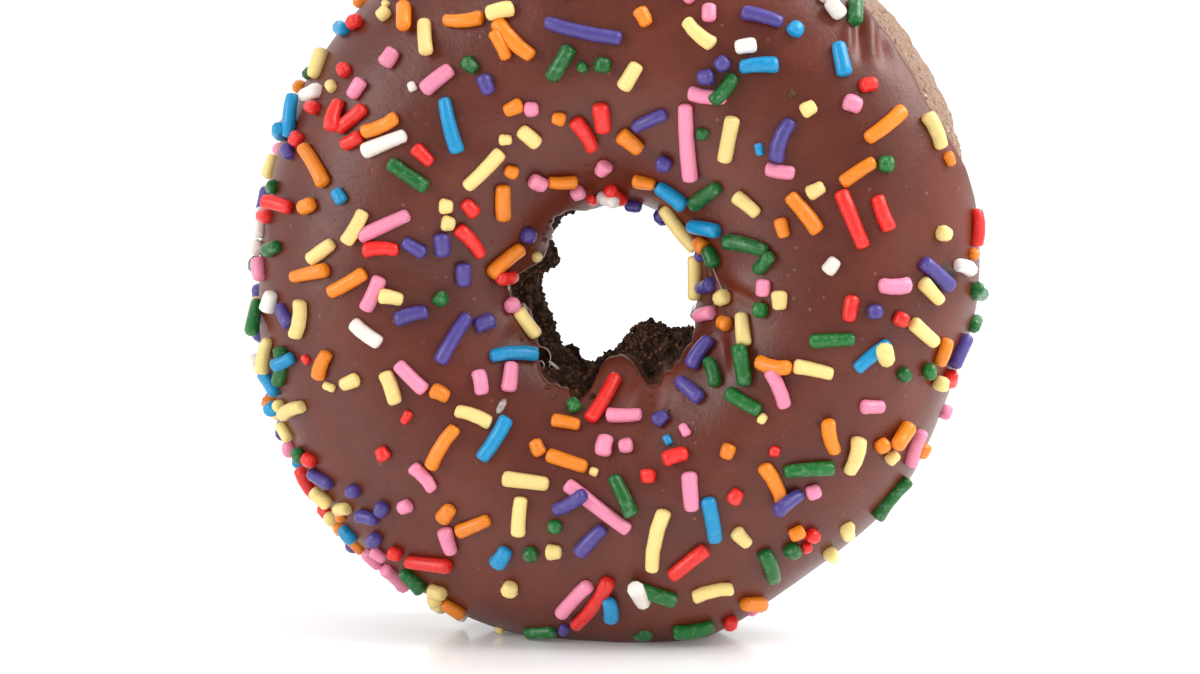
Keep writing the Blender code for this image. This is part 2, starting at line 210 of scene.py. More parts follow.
# The sprinkles
SEED = 11
SCATTERED = 370
SPRINKLE_RADIUS = 0.9 * MM
SUNK = 0.4 * MM  # how deep they sit in the icing, or in the one that they lie across
FOOT = 5 * MM  # none lie this near the middle of the flat that it stands on
PRESSED = 0.6  # how far a straight one is pressed in where the icing curves, from lying on its ends
SHORTEST = 1.6 * MM
LONGEST = 5.2 * MM  # of the scattered ones
FROM_EDGE = 6.0  # how far the placed ones keep from the icing's edge in the hole, in degrees
POINT = 0.55  # how far their rounded ends reach, as a share of their radius
STACKED = 0.45  # share of those that would cross another and then lie on top of it
COLOURS = {
    "red": ((0.80, 0.020, 0.014), 13),
    "orange": ((0.87, 0.235, 0.008), 14),
    "yellow": ((0.90, 0.69, 0.25), 19),
    "green": ((0.003, 0.145, 0.019), 12),
    "blue": ((0.001, 0.28, 0.57), 8),
    "purple": ((0.074, 0.050, 0.26), 12),
    "pink": ((0.87, 0.265, 0.41), 15),
    "white": ((0.87, 0.80, 0.73), 7),
}
# Where they lie more or less thickly: ring angle, spread, tube angle, spread, how many times more
CLUMPS = (
    (206, 42, 10, 44, 3.4),
    (0, 360, 150, 28, 0.7),
    (80, 80, 90, 140, 0.3),
    (190, 32, 100, 45, -0.55),
    (12, 30, 35, 40, -0.5),
)
CROWDED = 4.4  # how many times more there are at the most
BARE_RIM = 0.85  # share that the outer rim lacks, away from its clump
RIM = (10, 24)  # tube angles at which the rim's lack is full, and begins
FULL_RIM = (200, 90)  # ring angle where the rim lacks none, and its spread
SCATTER_SPAN = (-26, 192)  # tube angles between which they are scattered
EDGE_MARGINS = (3, 2)  # how far those keep from the icing's outer and inner edges, in degrees
# The ones that stand out have their own places: mm right of and above the ring's centre as the photograph
# shows them, heading, length in mm
PLACED = {
    "red": (
        (-3.3, -39.2, 52, 8.8), (27.0, 5.3, -68, 7.0), (-2.0, -15.6, 58, 6.6), (-22.3, -34.5, -8, 6.1),
        (7.9, -34.6, 38, 5.6), (-17.8, 2.9, -50, 4.6), (-31.4, 17.2, 40, 4.4), (30.5, 6.0, -70, 4.2),
        (-28.0, 1.9, 0, 4.2), (-0.6, 8.8, -40, 3.6),
    ),
    "orange": (
        (-12.5, 26.4, -45, 6.1), (-35.7, 11.8, -62, 6.1), (30.7, 16.3, 40, 5.8), (-20.8, -21.2, 58, 5.8),
        (17.8, -25.7, -65, 5.6), (21.4, 6.0, -52, 5.4), (-36.2, -0.8, 12, 5.2), (-13.7, 0.7, 42, 5.2),
        (-6.3, -22.9, -18, 4.9), (-28.1, 16.4, 25, 4.6), (-13.9, 7.5, 90, 4.3),
    ),
    "yellow": (
        (4.3, -32.1, 78, 7.6), (7.3, 4.8, -52, 6.3), (-16.1, 11.3, 45, 5.9), (12.6, 14.7, 80, 5.4),
        (-11.1, -25.2, -8, 5.4), (8.4, -1.1, 78, 5.2), (-37.5, -6.1, 82, 4.6), (22.5, -12.3, -12, 4.6),
        (9.1, 27.0, -42, 4.4), (-11.2, -6.7, -52, 4.0), (-26.9, -14.2, -70, 4.0), (26.3, -30.7, -80, 4.0),
    ),
    "green": (
        (31.4, -26.9, 50, 6.0), (3.7, -38.1, -18, 5.8), (21.9, -23.8, 5, 5.8), (14.8, 2.3, -15, 5.8),
        (-24.9, 10.6, -35, 5.4), (0.2, -26.9, -65, 5.2), (10.1, 8.3, 35, 5.0), (-39.5, -11.5, 86, 5.0),
        (8.4, -42.0, 10, 4.8), (14.4, -16.0, -30, 4.6), (2.3, -42.8, 3, 4.6), (-9.2, -42.6, 0, 4.2),
    ),
    "blue": (
        (-19.9, 16.4, -76, 6.5), (-12.6, -10.4, 5, 5.8), (-14.8, -20.2, 58, 5.8), (10.6, -29.7, -80, 5.4),
        (16.1, 23.2, 2, 4.4), (-1.2, -39.8, -85, 3.8), (25.6, 23.9, -78, 4.0),
    ),
    "purple": (
        (-4.4, 27.4, -12, 9.0), (-19.6, -8.5, 60, 6.6), (18.9, 14.5, 70, 5.1), (16.4, 28.8, -15, 4.8),
        (-3.5, -32.1, 45, 4.6), (39.3, -9.8, 65, 4.2), (9.5, -10.3, 55, 4.2), (8.1, -14.6, -40, 4.0),
    ),
    "pink": (
        (7.9, 14.4, -85, 9.2), (-2.7, -28.2, -37, 9.0), (-27.7, 4.7, 25, 6.5), (-5.4, -38.8, 45, 6.3),
        (-24.5, -13.0, -45, 4.6), (10.1, 19.8, -8, 4.4), (10.1, -5.7, 12, 3.4),
    ),
    "white": (
        (-27.6, 14.3, 22, 5.6), (-20.3, -40.8, -5, 4.4), (-35.9, 20.2, 20, 4.2), (-29.7, -7.8, -38, 4.2),
        (39.7, -0.2, -20, 3.8),
    ),
}
SHORTEST_STACKED = 2.5 * MM  # shorter ones don't lie on another
BROKEN_SEED = 5  # for the broken bits between them
BROKEN_LENGTH = (1.0 * MM, 1.7 * MM)
BROKEN_RADIUS = (0.45 * MM, 0.75 * MM)
BROKEN_SPAN = (10, 165)  # tube angles between which they lie
BROKEN_MARGINS = (6, 8)  # how far they keep from the icing's outer and inner edges, in degrees
WEAR_SEED = 23  # for how each stick bends, tapers and fades

# The outline of half a stick: radius, and how far along it is. The body ends at 1, the rounded end at 2.
STICK_HALF = ((1.0, 0.42), (1.0, 1.0), (0.88, 1.62), (0.55, 1.94), (0.0, 2.0))
STICK_SIDES = 9

# The light
WHITE = (1, 1, 1)
OPENING = (0.1, 0.95)  # cosines of the angles from straight in front, where the tent's brightness falls
# Soft lamps: name, the setting for their power, place, width
LAMPS = (
    ("left_lamp", "left", (-0.40, -0.34, 0.20), 0.30),
    ("right_lamp", "right", (0.40, -0.34, 0.20), 0.30),
    ("high_lamp", "above", (0.43, 0.0, 0.44), 0.42),
)

# Colours of small details
CRUST_BLOTCH = (0.26, 0.115, 0.055)
# Dark specks painted where the crust's relief dips: painted shade in its pits.
CRUST_PIT_SHADE = (0.14, 0.08, 0.05)
SUGAR = (0.66, 0.57, 0.50)  # grains on the pale band
ICING_SPECK = (0.34, 0.20, 0.15)
# Near black, painted as shade into the icing's pores and pinholes.
PORE_SHADE = (0.03, 0.009, 0.006)
TAN = (0.34, 0.20, 0.13)  # the darker crumbs on the pale band
TABLE_WHITE = (0.92, 0.92, 0.92)

# Mesh steps
RING_STEPS = 480
CAKE_HIDDEN_STEPS = 12  # under the icing
CAKE_HOLE_STEPS = 112  # over the torn crumb in the hole
CAKE_BACK_STEPS = 80
HOLE_SPAN = 62  # how far the fine steps reach past the icing's edge in the hole, in degrees
ICING_BEAD_STEPS = 8
ICING_FACE_STEPS = 132
ICING_UNDER_STEPS = 12

# The crumbs
CRUMB_SEED = 3
CRUMB_RINGS = (130, 330)  # ring angles between which they lie on the icing
BAND = (4, 112)  # ring angles between which they stick to the rim's pale band
BAND_SPAN = 11  # how far past the icing's edge most of those are, in degrees
# Those on the icing that stand out: mm right of and above the ring's centre, width in mm
MARKED_CRUMBS = (
    (20.0, 19.9, 0.9),
    (11.0, -4.8, 0.9),
    (12.0, -4.4, 0.6),
)
TORN_START = 5  # how far past the icing's edge loose crumb begins to cling to the torn wall, in degrees
TORN_END = 240  # tube angle at which it ends
# Glaze drawn out over the crumb in the hole: points of its threads, in mm right of and above the ring's
# centre
THREADS = (
    ((-9.5, -8.8), (-8.5, -10.1), (-8.1, -11.4)),
    ((-9.5, -10.8), (-9.2, -11.3), (-8.8, -11.7)),
    ((9.6, 2.5), (10.7, 0.7), (11.5, -1.6), (12.3, -4.7)),
)
# Its smears: mm right of and above the ring's centre, heading, length and width in mm
SMEARS = (
    (-14.0, -16.4, 62, 2.2, 1.0),
    (-7.9, -11.6, -40, 1.9, 0.34),
    (-11.3, -4.8, -62, 1.5, 0.7),
    (-13.2, -2.2, 80, 1.4, 0.5),
    (8.3, -4.5, 40, 1.3, 1.0),
)
SMEAR_HEIGHT = 0.2 * MM
PAST_EDGE = -24  # threads and smears may lie this many degrees past the icing's edge

# The photograph's view, in which the placed sprinkles were measured
IMAGE_SIZE = (1200, 674)
PIXEL = 0.117 * MM  # what one pixel of it spans at the doughnut
RING_CENTRE_PIXEL = (620.5, 268)
AZIMUTH = 9  # in degrees to the right of the axis
ELEVATION = 5
DISTANCE = 390 * MM

Sprinkle = namedtuple("Sprinkle", "centre axis length radius colour")


# The doughnut's form


def hump(angle, centre, spread):
    """1 at centre, fading smoothly to 0 at spread degrees either side of it."""
    away = abs((angle - centre + 180) % 360 - 180)
    return 0.5 + 0.5 * math.cos(math.pi * away / spread) if away < spread else 0.0


def waves(ring, rows, unit=1):
    """The sum of the humps of a table of ring angles, spreads and heights."""
    return sum(hump(ring, at, spread) * by * unit for at, spread, by in rows)


def smooth(share):
    """0 below 0 and 1 above 1, with a smooth rise between them."""
    share = min(1.0, max(0.0, share))
    return share * share * (3 - 2 * share)


@functools.lru_cache(maxsize=None)
def outer_edge(ring):
    """The tube angle at which the icing ends on the outer rim."""
    return OUTER_EDGE + waves(ring, OUTER_EDGE_WAVES) + wobble(ring)


@functools.lru_cache(maxsize=None)
def inner_edge(ring):
    """The tube angle at which the icing ends in the hole."""
    return INNER_EDGE + waves(ring, INNER_EDGE_WAVES) - wobble(ring)


@functools.lru_cache(maxsize=None)
def outwards(ring):
    """The direction from the ring's centre at a ring angle."""
    return Vector((math.cos(math.radians(ring)), 0, math.sin(math.radians(ring))))


def wobble(ring):
    """A small wave of the icing's edge. Its noise is read on a circle, so that it meets itself."""
    return EDGE_WOBBLE * noise.noise(outwards(ring) * WOBBLES)


@functools.lru_cache(maxsize=None)
def icing_ends(ring):
    """The tube angles of both edges of the icing, with their finer waves."""
    ragged = RAGGED * noise.noise(outwards(ring) * RAGS)
    return outer_edge(ring) + ragged, inner_edge(ring) + 1.5 * ragged


def rounded(share):
    """A sine or cosine for a cross-section that is a little squarer than a circle."""
    return math.copysign(abs(share) ** (2 / SQUARENESS), share)


@functools.lru_cache(maxsize=None)
def outline(ring):
    """The outer radius and the hole's radius at a ring angle."""
    return OUTER_RADIUS + waves(ring, OUTLINE_SWELLS, MM), HOLE_RADIUS + HOLE_SHIFT.dot(outwards(ring))


@functools.lru_cache(maxsize=None)
def lumps_at(ring):
    """The lumps in the hole at a ring angle: height there, tube angle and spread."""
    return [
        (hump(ring, at, spread) * by * MM, across, width)
        for at, spread, across, width, by in HOLE_LUMPS
        if hump(ring, at, spread)
    ]


def smooth_cake(ring, tube):
    """The cake's surface without its relief, from the ring's centre."""
    outer, inner = outline(ring)
    lumps = sum(height * hump(tube, across, width) for height, across, width in lumps_at(ring))
    across = rounded(math.cos(math.radians(tube)))
    along = rounded(math.sin(math.radians(tube)))
    if across > 0:
        radius = MIDDLE_RADIUS + (outer - MIDDLE_RADIUS) * across
    else:
        radius = MIDDLE_RADIUS + (MIDDLE_RADIUS - inner) * across
    depth = (FRONT_DEPTH if along > 0 else BACK_DEPTH) * along
    return outwards(ring) * (radius - lumps) - Vector((0, depth, 0))


def normal(ring, tube):
    """The direction straight out of the cake's surface."""
    step = 1.5
    round_ring = smooth_cake(ring + step, tube) - smooth_cake(ring - step, tube)
    round_tube = smooth_cake(ring, tube + step) - smooth_cake(ring, tube - step)
    return round_ring.cross(round_tube).normalized()


def surface(ring, tube, lift):
    """The point that lies lift above the cake, pressed flat where the doughnut stands on the floor."""
    point = smooth_cake(ring, tube)
    swell = UNEVEN * noise.noise(point / UNEVEN_SIZE)
    place = CENTRE + point + normal(ring, tube) * (swell + lift)
    place.z = max(place.z, ICING - lift)
    return place


@functools.lru_cache(maxsize=None)
def view_axes():
    """The directions from the doughnut to the camera, and to the right and up in its picture."""
    azimuth, elevation = math.radians(AZIMUTH), math.radians(ELEVATION)
    flat = Vector((math.sin(azimuth), -math.cos(azimuth), 0))
    back = flat * math.cos(elevation) + Vector((0, 0, math.sin(elevation)))
    right = Vector((math.cos(azimuth), math.sin(azimuth), 0))
    return back, right, back.cross(right)


# Pieces in general


def make_ring(tube_steps, layers, place):
    """A circle spun round the doughnut's axis, each of whose points is then moved.

    place(ring angle, step round the tube) gives a point, and its value in each of the named layers.
    """
    shape = bmesh.new()
    at_the_rim = Matrix.Translation((MIDDLE_RADIUS, 0, 0))
    bmesh.ops.create_circle(shape, segments=tube_steps, radius=FRONT_DEPTH, matrix=at_the_rim)
    bmesh.ops.spin(
        shape,
        geom=shape.verts[:] + shape.edges[:],
        cent=(0, 0, 0),
        axis=(0, 1, 0),
        angle=math.tau,
        steps=RING_STEPS,
        use_merge=True,
    )
    bmesh.ops.recalc_face_normals(shape, faces=shape.faces[:])
    fields = [shape.verts.layers.float.new(name) for name in layers]
    for vertex in shape.verts:
        across = math.hypot(vertex.co.x, vertex.co.z) - MIDDLE_RADIUS
        turn = math.atan2(vertex.co.z, vertex.co.x) / math.tau
        ring = round(turn * RING_STEPS) % RING_STEPS * 360 / RING_STEPS
        step = round(math.atan2(-vertex.co.y, across) / math.tau * tube_steps) % tube_steps
        vertex.co, values = place(ring, step)
        for field, value in zip(fields, values):
            vertex[field] = value
    return shape


def as_mesh(name, shape):
    mesh = bpy.data.meshes.new(name)
    shape.to_mesh(mesh)
    shape.free()
    return mesh


def add_copy(shape, mesh):
    """Adds a mesh to a shape, and gives back its points there."""
    known = len(shape.verts)
    shape.from_mesh(mesh)
    shape.verts.ensure_lookup_table()
    return shape.verts[known:]


def finish_piece(name, shape, material, slot, *replaced):
    """Makes the object of a finished shape, which rides on the doughnut's one body."""
    mesh = as_mesh(name, shape)
    mesh.shade_smooth()
    mesh.materials.append(material)
    piece = bpy.data.objects.new(name, mesh)
    bpy.context.scene.collection.objects.link(piece)
    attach(piece, "root")
    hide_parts(*replaced)


# Materials


class Wire:
    """What comes out of a node. Sums with it add the Math nodes that they need."""

    def __init__(self, nodes, socket):
        self.nodes = nodes
        self.socket = socket

    def maths(self, operation, first, second):
        return self.nodes.add("ShaderNodeMath", {"operation": operation}, {0: first, 1: second})

    def __add__(self, other):
        return self.maths("ADD", self, other)

    def __radd__(self, other):
        return self.maths("ADD", other, self)

    def __sub__(self, other):
        return self.maths("SUBTRACT", self, other)

    def __rsub__(self, other):
        return self.maths("SUBTRACT", other, self)

    def __mul__(self, other):
        return self.maths("MULTIPLY", self, other)

    def __rmul__(self, other):
        return self.maths("MULTIPLY", other, self)

    def rise(self, low, high):
        """A smooth rise from 0 at low to 1 at high, or a fall where low is above high."""
        ends = (0.0, 1.0) if low < high else (1.0, 0.0)
        inputs = dict(enumerate((self, min(low, high), max(low, high), *ends)))
        return self.nodes.add("ShaderNodeMapRange", {"interpolation_type": "SMOOTHSTEP"}, inputs)


class Nodes:
    """The nodes of a material or of the world."""

    def __init__(self, tree):
        self.tree = tree

    def add(self, kind, settings=None, inputs=None, output=0):
        """Adds a node with its settings, then the values or wires of its sockets."""
        added = self.tree.nodes.new(kind)
        for name, value in (settings or {}).items():
            setattr(added, name, value)
        for name, value in (inputs or {}).items():
            self.feed(added.inputs[name], value)
        return Wire(self, added.outputs[output])

    def feed(self, socket, value):
        if isinstance(value, Wire):
            self.tree.links.new(value.socket, socket)
        elif socket.type == "RGBA":
            socket.default_value = (*value, 1)
        else:
            socket.default_value = value


class Finish(Nodes):
    """A material: a Principled BSDF, with settings that are the same all over and nodes that feed it."""

    MIX_FACTOR, MIX_FIRST, MIX_SECOND, MIX_COLOUR = 0, 6, 7, 2  # the Mix node's sockets for colours

    def __init__(self, name, **settings):
        self.material = bpy.data.materials.new(name)
        self.material.use_nodes = True
        super().__init__(self.material.node_tree)
        self.shader = self.tree.nodes["Principled BSDF"]
        self.places = self.add("ShaderNodeTexCoord", output="Object")
        for socket, value in settings.items():
            self.feed(self.shader.inputs[socket.replace("_", " ")], value)

    def layer(self, name):
        return self.add("ShaderNodeAttribute", {"attribute_name": name}, output="Fac")

    def clouds(self, size, detail=2.0, roughness=0.5):
        """Noise whose patches are about size across, mostly between 0.3 and 0.7."""
        inputs = {"Vector": self.places, "Scale": 1 / size, "Detail": detail, "Roughness": roughness}
        return self.add("ShaderNodeTexNoise", inputs=inputs)

    def grains(self, size):
        """The distance from the nearest of many scattered points, size apart: 0 at each of them."""
        return self.add("ShaderNodeTexVoronoi", inputs={"Vector": self.places, "Scale": 1 / size})

    def mix(self, factor, first, second):
        inputs = {self.MIX_FACTOR: factor, self.MIX_FIRST: first, self.MIX_SECOND: second}
        return self.add("ShaderNodeMix", {"data_type": "RGBA"}, inputs, output=self.MIX_COLOUR)

    def cover(self, colour, roughness, height, distance):
        """Feeds the shader: its colour, its roughness, and a relief of that distance from 0 to 1."""
        bump = self.add("ShaderNodeBump", inputs={"Height": height, "Distance": distance, "Strength": 1.0})
        for name, value in (("Base Color", colour), ("Roughness", roughness), ("Normal", bump)):
            self.feed(self.shader.inputs[name], value)
        return self.material


# What the settings are made of


def colour_property(name, description, colour):
    return FloatVectorProperty(
        name=name, description=description, subtype="COLOR", size=3, min=0, max=1, default=colour
    )


def length_property(name, description, default):
    return FloatProperty(name=name, description=description, default=default, unit="LENGTH", precision=5)


def share_property(name, description, default, most=1):
    return FloatProperty(
        name=name, description=description, default=default, min=0, max=most, subtype="FACTOR"
    )


def count_property(name, description, default):
    return IntProperty(name=name, description=description, default=default, min=0)


def brightness_property(name, description, default, unit="NONE"):
    return FloatProperty(name=name, description=description, default=default, min=0, unit=unit)


# The cake


class CakeSettings(bpy.types.PropertyGroup):
    grain_height: length_property("Grain height", "How far the torn crumb's grains stand out", 0.62 * MM)
    crust_height: length_property("Crust relief", "How far the fried crust's blisters stand out", 0.2 * MM)
    # Of the two crumb colours below, the first is the torn crumb in painted shade, as in its pits and
    # cracks, and the second is the crumb in painted light, as on its grains' tips.
    crumb: colour_property("Crumb", "Moist crumb, where the cake is torn", (0.030, 0.012, 0.006))
    lit_crumb: colour_property("Dry crumb", "Tips of the crumb's grains", (0.215, 0.092, 0.045))
    crust: colour_property("Crust", "Fried crust on the back", (0.085, 0.036, 0.018))
    # The band colour is partly the paler crust round the rim and partly painted rim light.
    band: colour_property("Band", "Paler crust round the rim, which was above the oil", (0.30, 0.205, 0.15))


def bare_cake(ring, tube):
    """0 under the icing, rising to 1 just past its edge."""
    low, high = icing_ends(ring)
    return smooth(max(low - tube, tube - high) / BARE)


def grain_at(point):
    """The height of the crumb's grains, from about -1 between them to 1 on top."""
    large = 1 - 1.6 * noise.voronoi(point / GRAIN)[0][0]
    small = 1 - 1.6 * noise.voronoi(point / FINE_GRAIN)[0][0]
    return 0.62 * large + 0.38 * small


def crack_at(point):
    """1 in the middle of a crack of the fried crust, and 0 away from it."""
    spot = point / CRACK_SIZE
    bend = Vector([noise.noise(spot * 2.3 + shift) for shift in CRACK_SHIFTS])
    return smooth(1 - abs(noise.noise(spot + bend * CRACK_BEND)) / CRACK_WIDTH)


def gap_at(ring, tube):
    """How deep the gap under the icing's outer edge is, and how far into it a place is, from 0 to 1."""
    across = hump(tube, icing_ends(ring)[0] - GAP_WIDTH / 3, GAP_WIDTH)
    if not across:
        return 0.0, 0.0
    ragged = max(0.0, 1 + 1.3 * noise.noise(outwards(ring) * 26 + Vector((0, tube / 4, 0))))
    depth = max(hump(ring, at, spread) * by for at, spread, by in GAPS) * across * ragged
    return depth * MM, smooth(depth / 0.7)


def cake_point(ring, tube, settings):
    """A place on the cake's face, with how torn, how pale and how high it is there, each from 0 to 1. How
    high it is sets the crumb's painted shade and painted light.
    """
    point = smooth_cake(ring, tube)
    in_the_hole = smooth((MIDDLE_RADIUS - math.hypot(point.x, point.z)) / CRUMB_FADE)
    bare = bare_cake(ring, tube)
    rough = bare * (CRUST_SHARE + (1 - CRUST_SHARE) * in_the_hole)
    torn = noise.noise(point / CRAG_SIZE) + 0.5 * noise.noise(point / CRAG_SIZE * 2.1)
    pit = bare * in_the_hole * smooth(2.6 * noise.noise(point / PIT_SIZE + Vector((7, 3, 5))) - 0.25)
    grain = grain_at(point) if bare else 0.0
    gap, in_the_gap = gap_at(ring, tube)
    lift = -rough * CRAG * abs(torn) - pit * PIT - gap
    crumbly = max(in_the_hole, in_the_gap)
    coarser = settings.grain_height - settings.crust_height
    lift += bare * grain * (settings.crust_height + coarser * crumbly)
    cracked = 0.0
    if tube > CRACKED:
        cracked = bare * crack_at(point) * smooth((tube - CRACKED) / CRACK_FADE)
        lift -= cracked * CRACK
    torn_share = max(bare * max(in_the_hole, cracked), in_the_gap * 0.6)
    # Partly painted rim light, where the outer rim catches the light.
    pale = hump(tube, *PALE_AND_LIT_BAND) * (1 - in_the_hole)
    # The crumb's height is painted as light and shade: sunk pits, crags and cracks get painted shade, the
    # grains' tops get painted light, and the gap under the icing's edge gets a little painted light against
    # its shade.
    sunk = 0.3 * abs(torn) * rough + 0.4 * pit + 0.3 * cracked
    high = 0.55 + 0.4 * grain - sunk + 0.1 * in_the_gap
    return surface(ring, tube, lift), (torn_share, pale, min(1.0, max(0.0, high)))


def cake_finish(settings):
    """Fried chocolate cake: pale grainy crust round the rim, brown behind, and crumb where it is torn, with
    painted shade in its pits and cracks and painted light on its grains' tips.
    """
    finish = Finish("cake_finish", IOR=1.4, Specular_IOR_Level=0.35)
    torn, pale, high = [finish.layer(name) for name in ("torn", "pale", "high")]
    patches = finish.clouds(5 * MM, 4, 0.65)
    speckle = finish.clouds(0.55 * MM, 3, 0.7)
    sugar = finish.grains(0.8 * MM).rise(0.30, 0.12) * finish.clouds(2 * MM).rise(0.48, 0.62)
    crust = finish.mix((pale + (patches - 0.5) * 1.1).rise(0.05, 0.8), settings.crust, settings.band)
    blotches = finish.clouds(1.3 * MM, 3, 0.6)
    crust = finish.mix(blotches.rise(0.50, 0.68) * (pale * 0.6 + 0.2), crust, CRUST_BLOTCH)
    # Painted shade in the pits of the crust's relief, where the same noise dents it.
    crust = finish.mix(speckle.rise(0.50, 0.34) * 0.6, crust, CRUST_PIT_SHADE)
    crust = finish.mix(sugar * pale * 0.7, crust, SUGAR)
    clumps = finish.grains(0.9 * MM).rise(0.6, 0.0)
    # Painted light on the grains' tops and painted shade between them, following the height and the
    # relief's noise and clumps.
    tips = high + (speckle - 0.5) * 0.6 + (clumps - 0.5) * 0.25
    crumb = finish.mix(tips.rise(0.42, 0.95), settings.crumb, settings.lit_crumb)
    colour = finish.mix(torn.rise(0.15, 0.7), crust, crumb)
    roughness = 0.66 + speckle * 0.25
    relief = (speckle * 0.7 + finish.clouds(0.22 * MM, 2) * 0.5) * (torn * 0.6 + 0.4) + clumps * torn
    return finish.cover(colour, roughness, relief, 0.22 * MM)


def make_cake(settings):
    tube_steps = CAKE_HIDDEN_STEPS + CAKE_HOLE_STEPS + CAKE_BACK_STEPS
    margin = 3  # degrees that the hidden part keeps from the icing's edges

    def place(ring, step):
        low, high = icing_ends(ring)
        low, high = low + margin, high - margin
        past_hidden = step - CAKE_HIDDEN_STEPS
        past_hole = past_hidden - CAKE_HOLE_STEPS
        if past_hidden < 0:
            tube = low + (high - low) * step / CAKE_HIDDEN_STEPS
        elif past_hole < 0:
            tube = high + HOLE_SPAN * past_hidden / CAKE_HOLE_STEPS
        else:
            tube = high + HOLE_SPAN + (low + 360 - high - HOLE_SPAN) * past_hole / CAKE_BACK_STEPS
        return cake_point(ring, tube - 360 if tube > 270 else tube, settings)

    shape = make_ring(tube_steps, ("torn", "pale", "high"), place)
    finish_piece("cake_crumb", shape, cake_finish(settings), "cake", "cake")


# The icing


class IcingSettings(bpy.types.PropertyGroup):
    ripple: length_property("Ripple", "Height of the icing's slow waves", 0.13 * MM)
    fold_share: share_property("Folds", "How deep its folds and creases are", 1.3, most=2)
    roughness: share_property("Roughness", "How matt the set icing is", 0.38)
    dark: colour_property("Dark", "Icing in its darker patches", (0.096, 0.0135, 0.004))
    light: colour_property("Light", "Icing in its lighter patches", (0.130, 0.020, 0.0065))
    thin: colour_property("Thin", "Thin icing, along its edges and in its creases", (0.150, 0.018, 0.006))


def fold_height(point):
    """How high the icing's folds stand at a place, which is given from the ring's centre."""
    height = 0.0
    for x, z, heading, length, width, by in FOLDS:
        away_x, away_z = point.x / MM - x, point.z / MM - z
        if abs(away_x) + abs(away_z) > length:
            continue
        cos, sin = math.cos(math.radians(heading)), math.sin(math.radians(heading))
        along = away_x * cos + away_z * sin
        across = away_z * cos - away_x * sin
        if abs(along) < length / 2:
            fade = 0.5 + 0.5 * math.cos(math.tau * along / length)
            height += by * MM * fade * math.exp(-((across / width) ** 2))
    return height


def pinhole_depth(point):
    depth = 0.0
    for x, z, radius, by in PINHOLES:
        away = math.hypot(point.x / MM - x, point.z / MM - z)
        depth += by * MM * smooth(1.3 - away / radius / 1.4)
    return depth


def make_icing(settings):
    """The icing as a closed skin: its steps run over its face, then back along its underside."""

    def place(ring, step):
        low, high = icing_ends(ring)
        span = high - low
        bead = math.degrees(BEAD / FRONT_DEPTH)
        if step > ICING_FACE_STEPS:
            share = 1 - (step - ICING_FACE_STEPS) / ICING_UNDER_STEPS
            return surface(ring, low + span * share, BURIED), (0.0, 0.0)
        from_low = edge_distance(step, span, bead)
        from_high = edge_distance(ICING_FACE_STEPS - step, span, bead)
        tube = low + from_low if step <= ICING_FACE_STEPS / 2 else high - from_high
        inward = min(1.0, min(from_low, from_high) / bead)
        point = smooth_cake(ring, tube)
        fold = fold_height(point) * settings.fold_share
        ripple = noise.noise(point / RIPPLE_SIZE) + 0.3 * noise.noise(point / FINE_RIPPLE_SIZE)
        relief = (fold + ripple * settings.ripple - pinhole_depth(point)) * smooth(inward)
        lift = BURIED + (ICING - BURIED) * math.sqrt(1 - (1 - inward) ** 2) + relief
        spot = surface(ring, tube, lift)
        spot.z = max(spot.z, 0.0)
        thin = max(1 - smooth(inward), smooth(-fold / (0.35 * MM)))
        # How deep a place is in a pinhole, which the finish paints as shade.
        return spot, (thin, smooth(pinhole_depth(point) / (0.3 * MM)))

    tube_steps = ICING_FACE_STEPS + ICING_UNDER_STEPS
    shape = make_ring(tube_steps, ("thin", "pinhole"), place)
    finish_piece("icing_skin", shape, icing_finish(settings), "icing", "icing")


def edge_distance(step, span, bead):
    """How many degrees a step of the face lies from the edge. The first ones crowd there to round it."""
    if step < ICING_BEAD_STEPS:
        return bead * (1 - math.cos(math.pi / 2 * step / ICING_BEAD_STEPS))
    even_steps = ICING_FACE_STEPS - 2 * ICING_BEAD_STEPS
    return bead + (span - 2 * bead) * (step - ICING_BEAD_STEPS) / even_steps


def icing_finish(settings):
    """Set chocolate icing: cloudy brown with a soft uneven sheen, fine pale specks, and pores and pinholes
    with painted shade in them.
    """
    finish = Finish("icing_finish", IOR=1.45, Specular_IOR_Level=0.56)
    patches = finish.clouds(9 * MM, 4, 0.55)
    fine = finish.clouds(0.8 * MM, 3, 0.6)
    specks = finish.grains(1.9 * MM).rise(0.13, 0.05) * finish.clouds(3 * MM).rise(0.42, 0.62)
    pores = finish.grains(2.7 * MM).rise(0.10, 0.04) * finish.clouds(4 * MM).rise(0.60, 0.45)
    colour = finish.mix(patches.rise(0.32, 0.68), settings.dark, settings.light)
    colour = finish.mix(finish.layer("thin") * 0.65, colour, settings.thin)
    colour = finish.mix(specks * 0.35, colour, ICING_SPECK)
    # Painted shade in the pores and pinholes, which the relief and the icing's shape dent.
    colour = finish.mix((pores * 0.5 + finish.layer("pinhole") * 0.85).rise(0.0, 1.0), colour, PORE_SHADE)
    roughness = settings.roughness + (fine - 0.5) * 0.16 + (patches - 0.5) * 0.16
    relief = fine * 0.55 + finish.clouds(0.3 * MM, 2) * 0.25 + patches * 0.6 - pores * 0.5 + specks * 0.2
    return finish.cover(colour, roughness, relief, 0.09 * MM)


# The sprinkles


class SprinkleSettings(bpy.types.PropertyGroup):
    scattered: count_property("Scattered", "How many are scattered, of which a few are left out", SCATTERED)
    broken: count_property("Broken bits", "How many small broken bits lie between them", 34)
    bend: length_property("Bend", "How far the most bent one's middle is from a straight line", 0.4 * MM)


class SprinkleColours(bpy.types.PropertyGroup):
    __annotations__ = {
        name: colour_property(name.capitalize(), f"Colour of the {name} sprinkles", colour)
        for name, (colour, _) in COLOURS.items()
    }


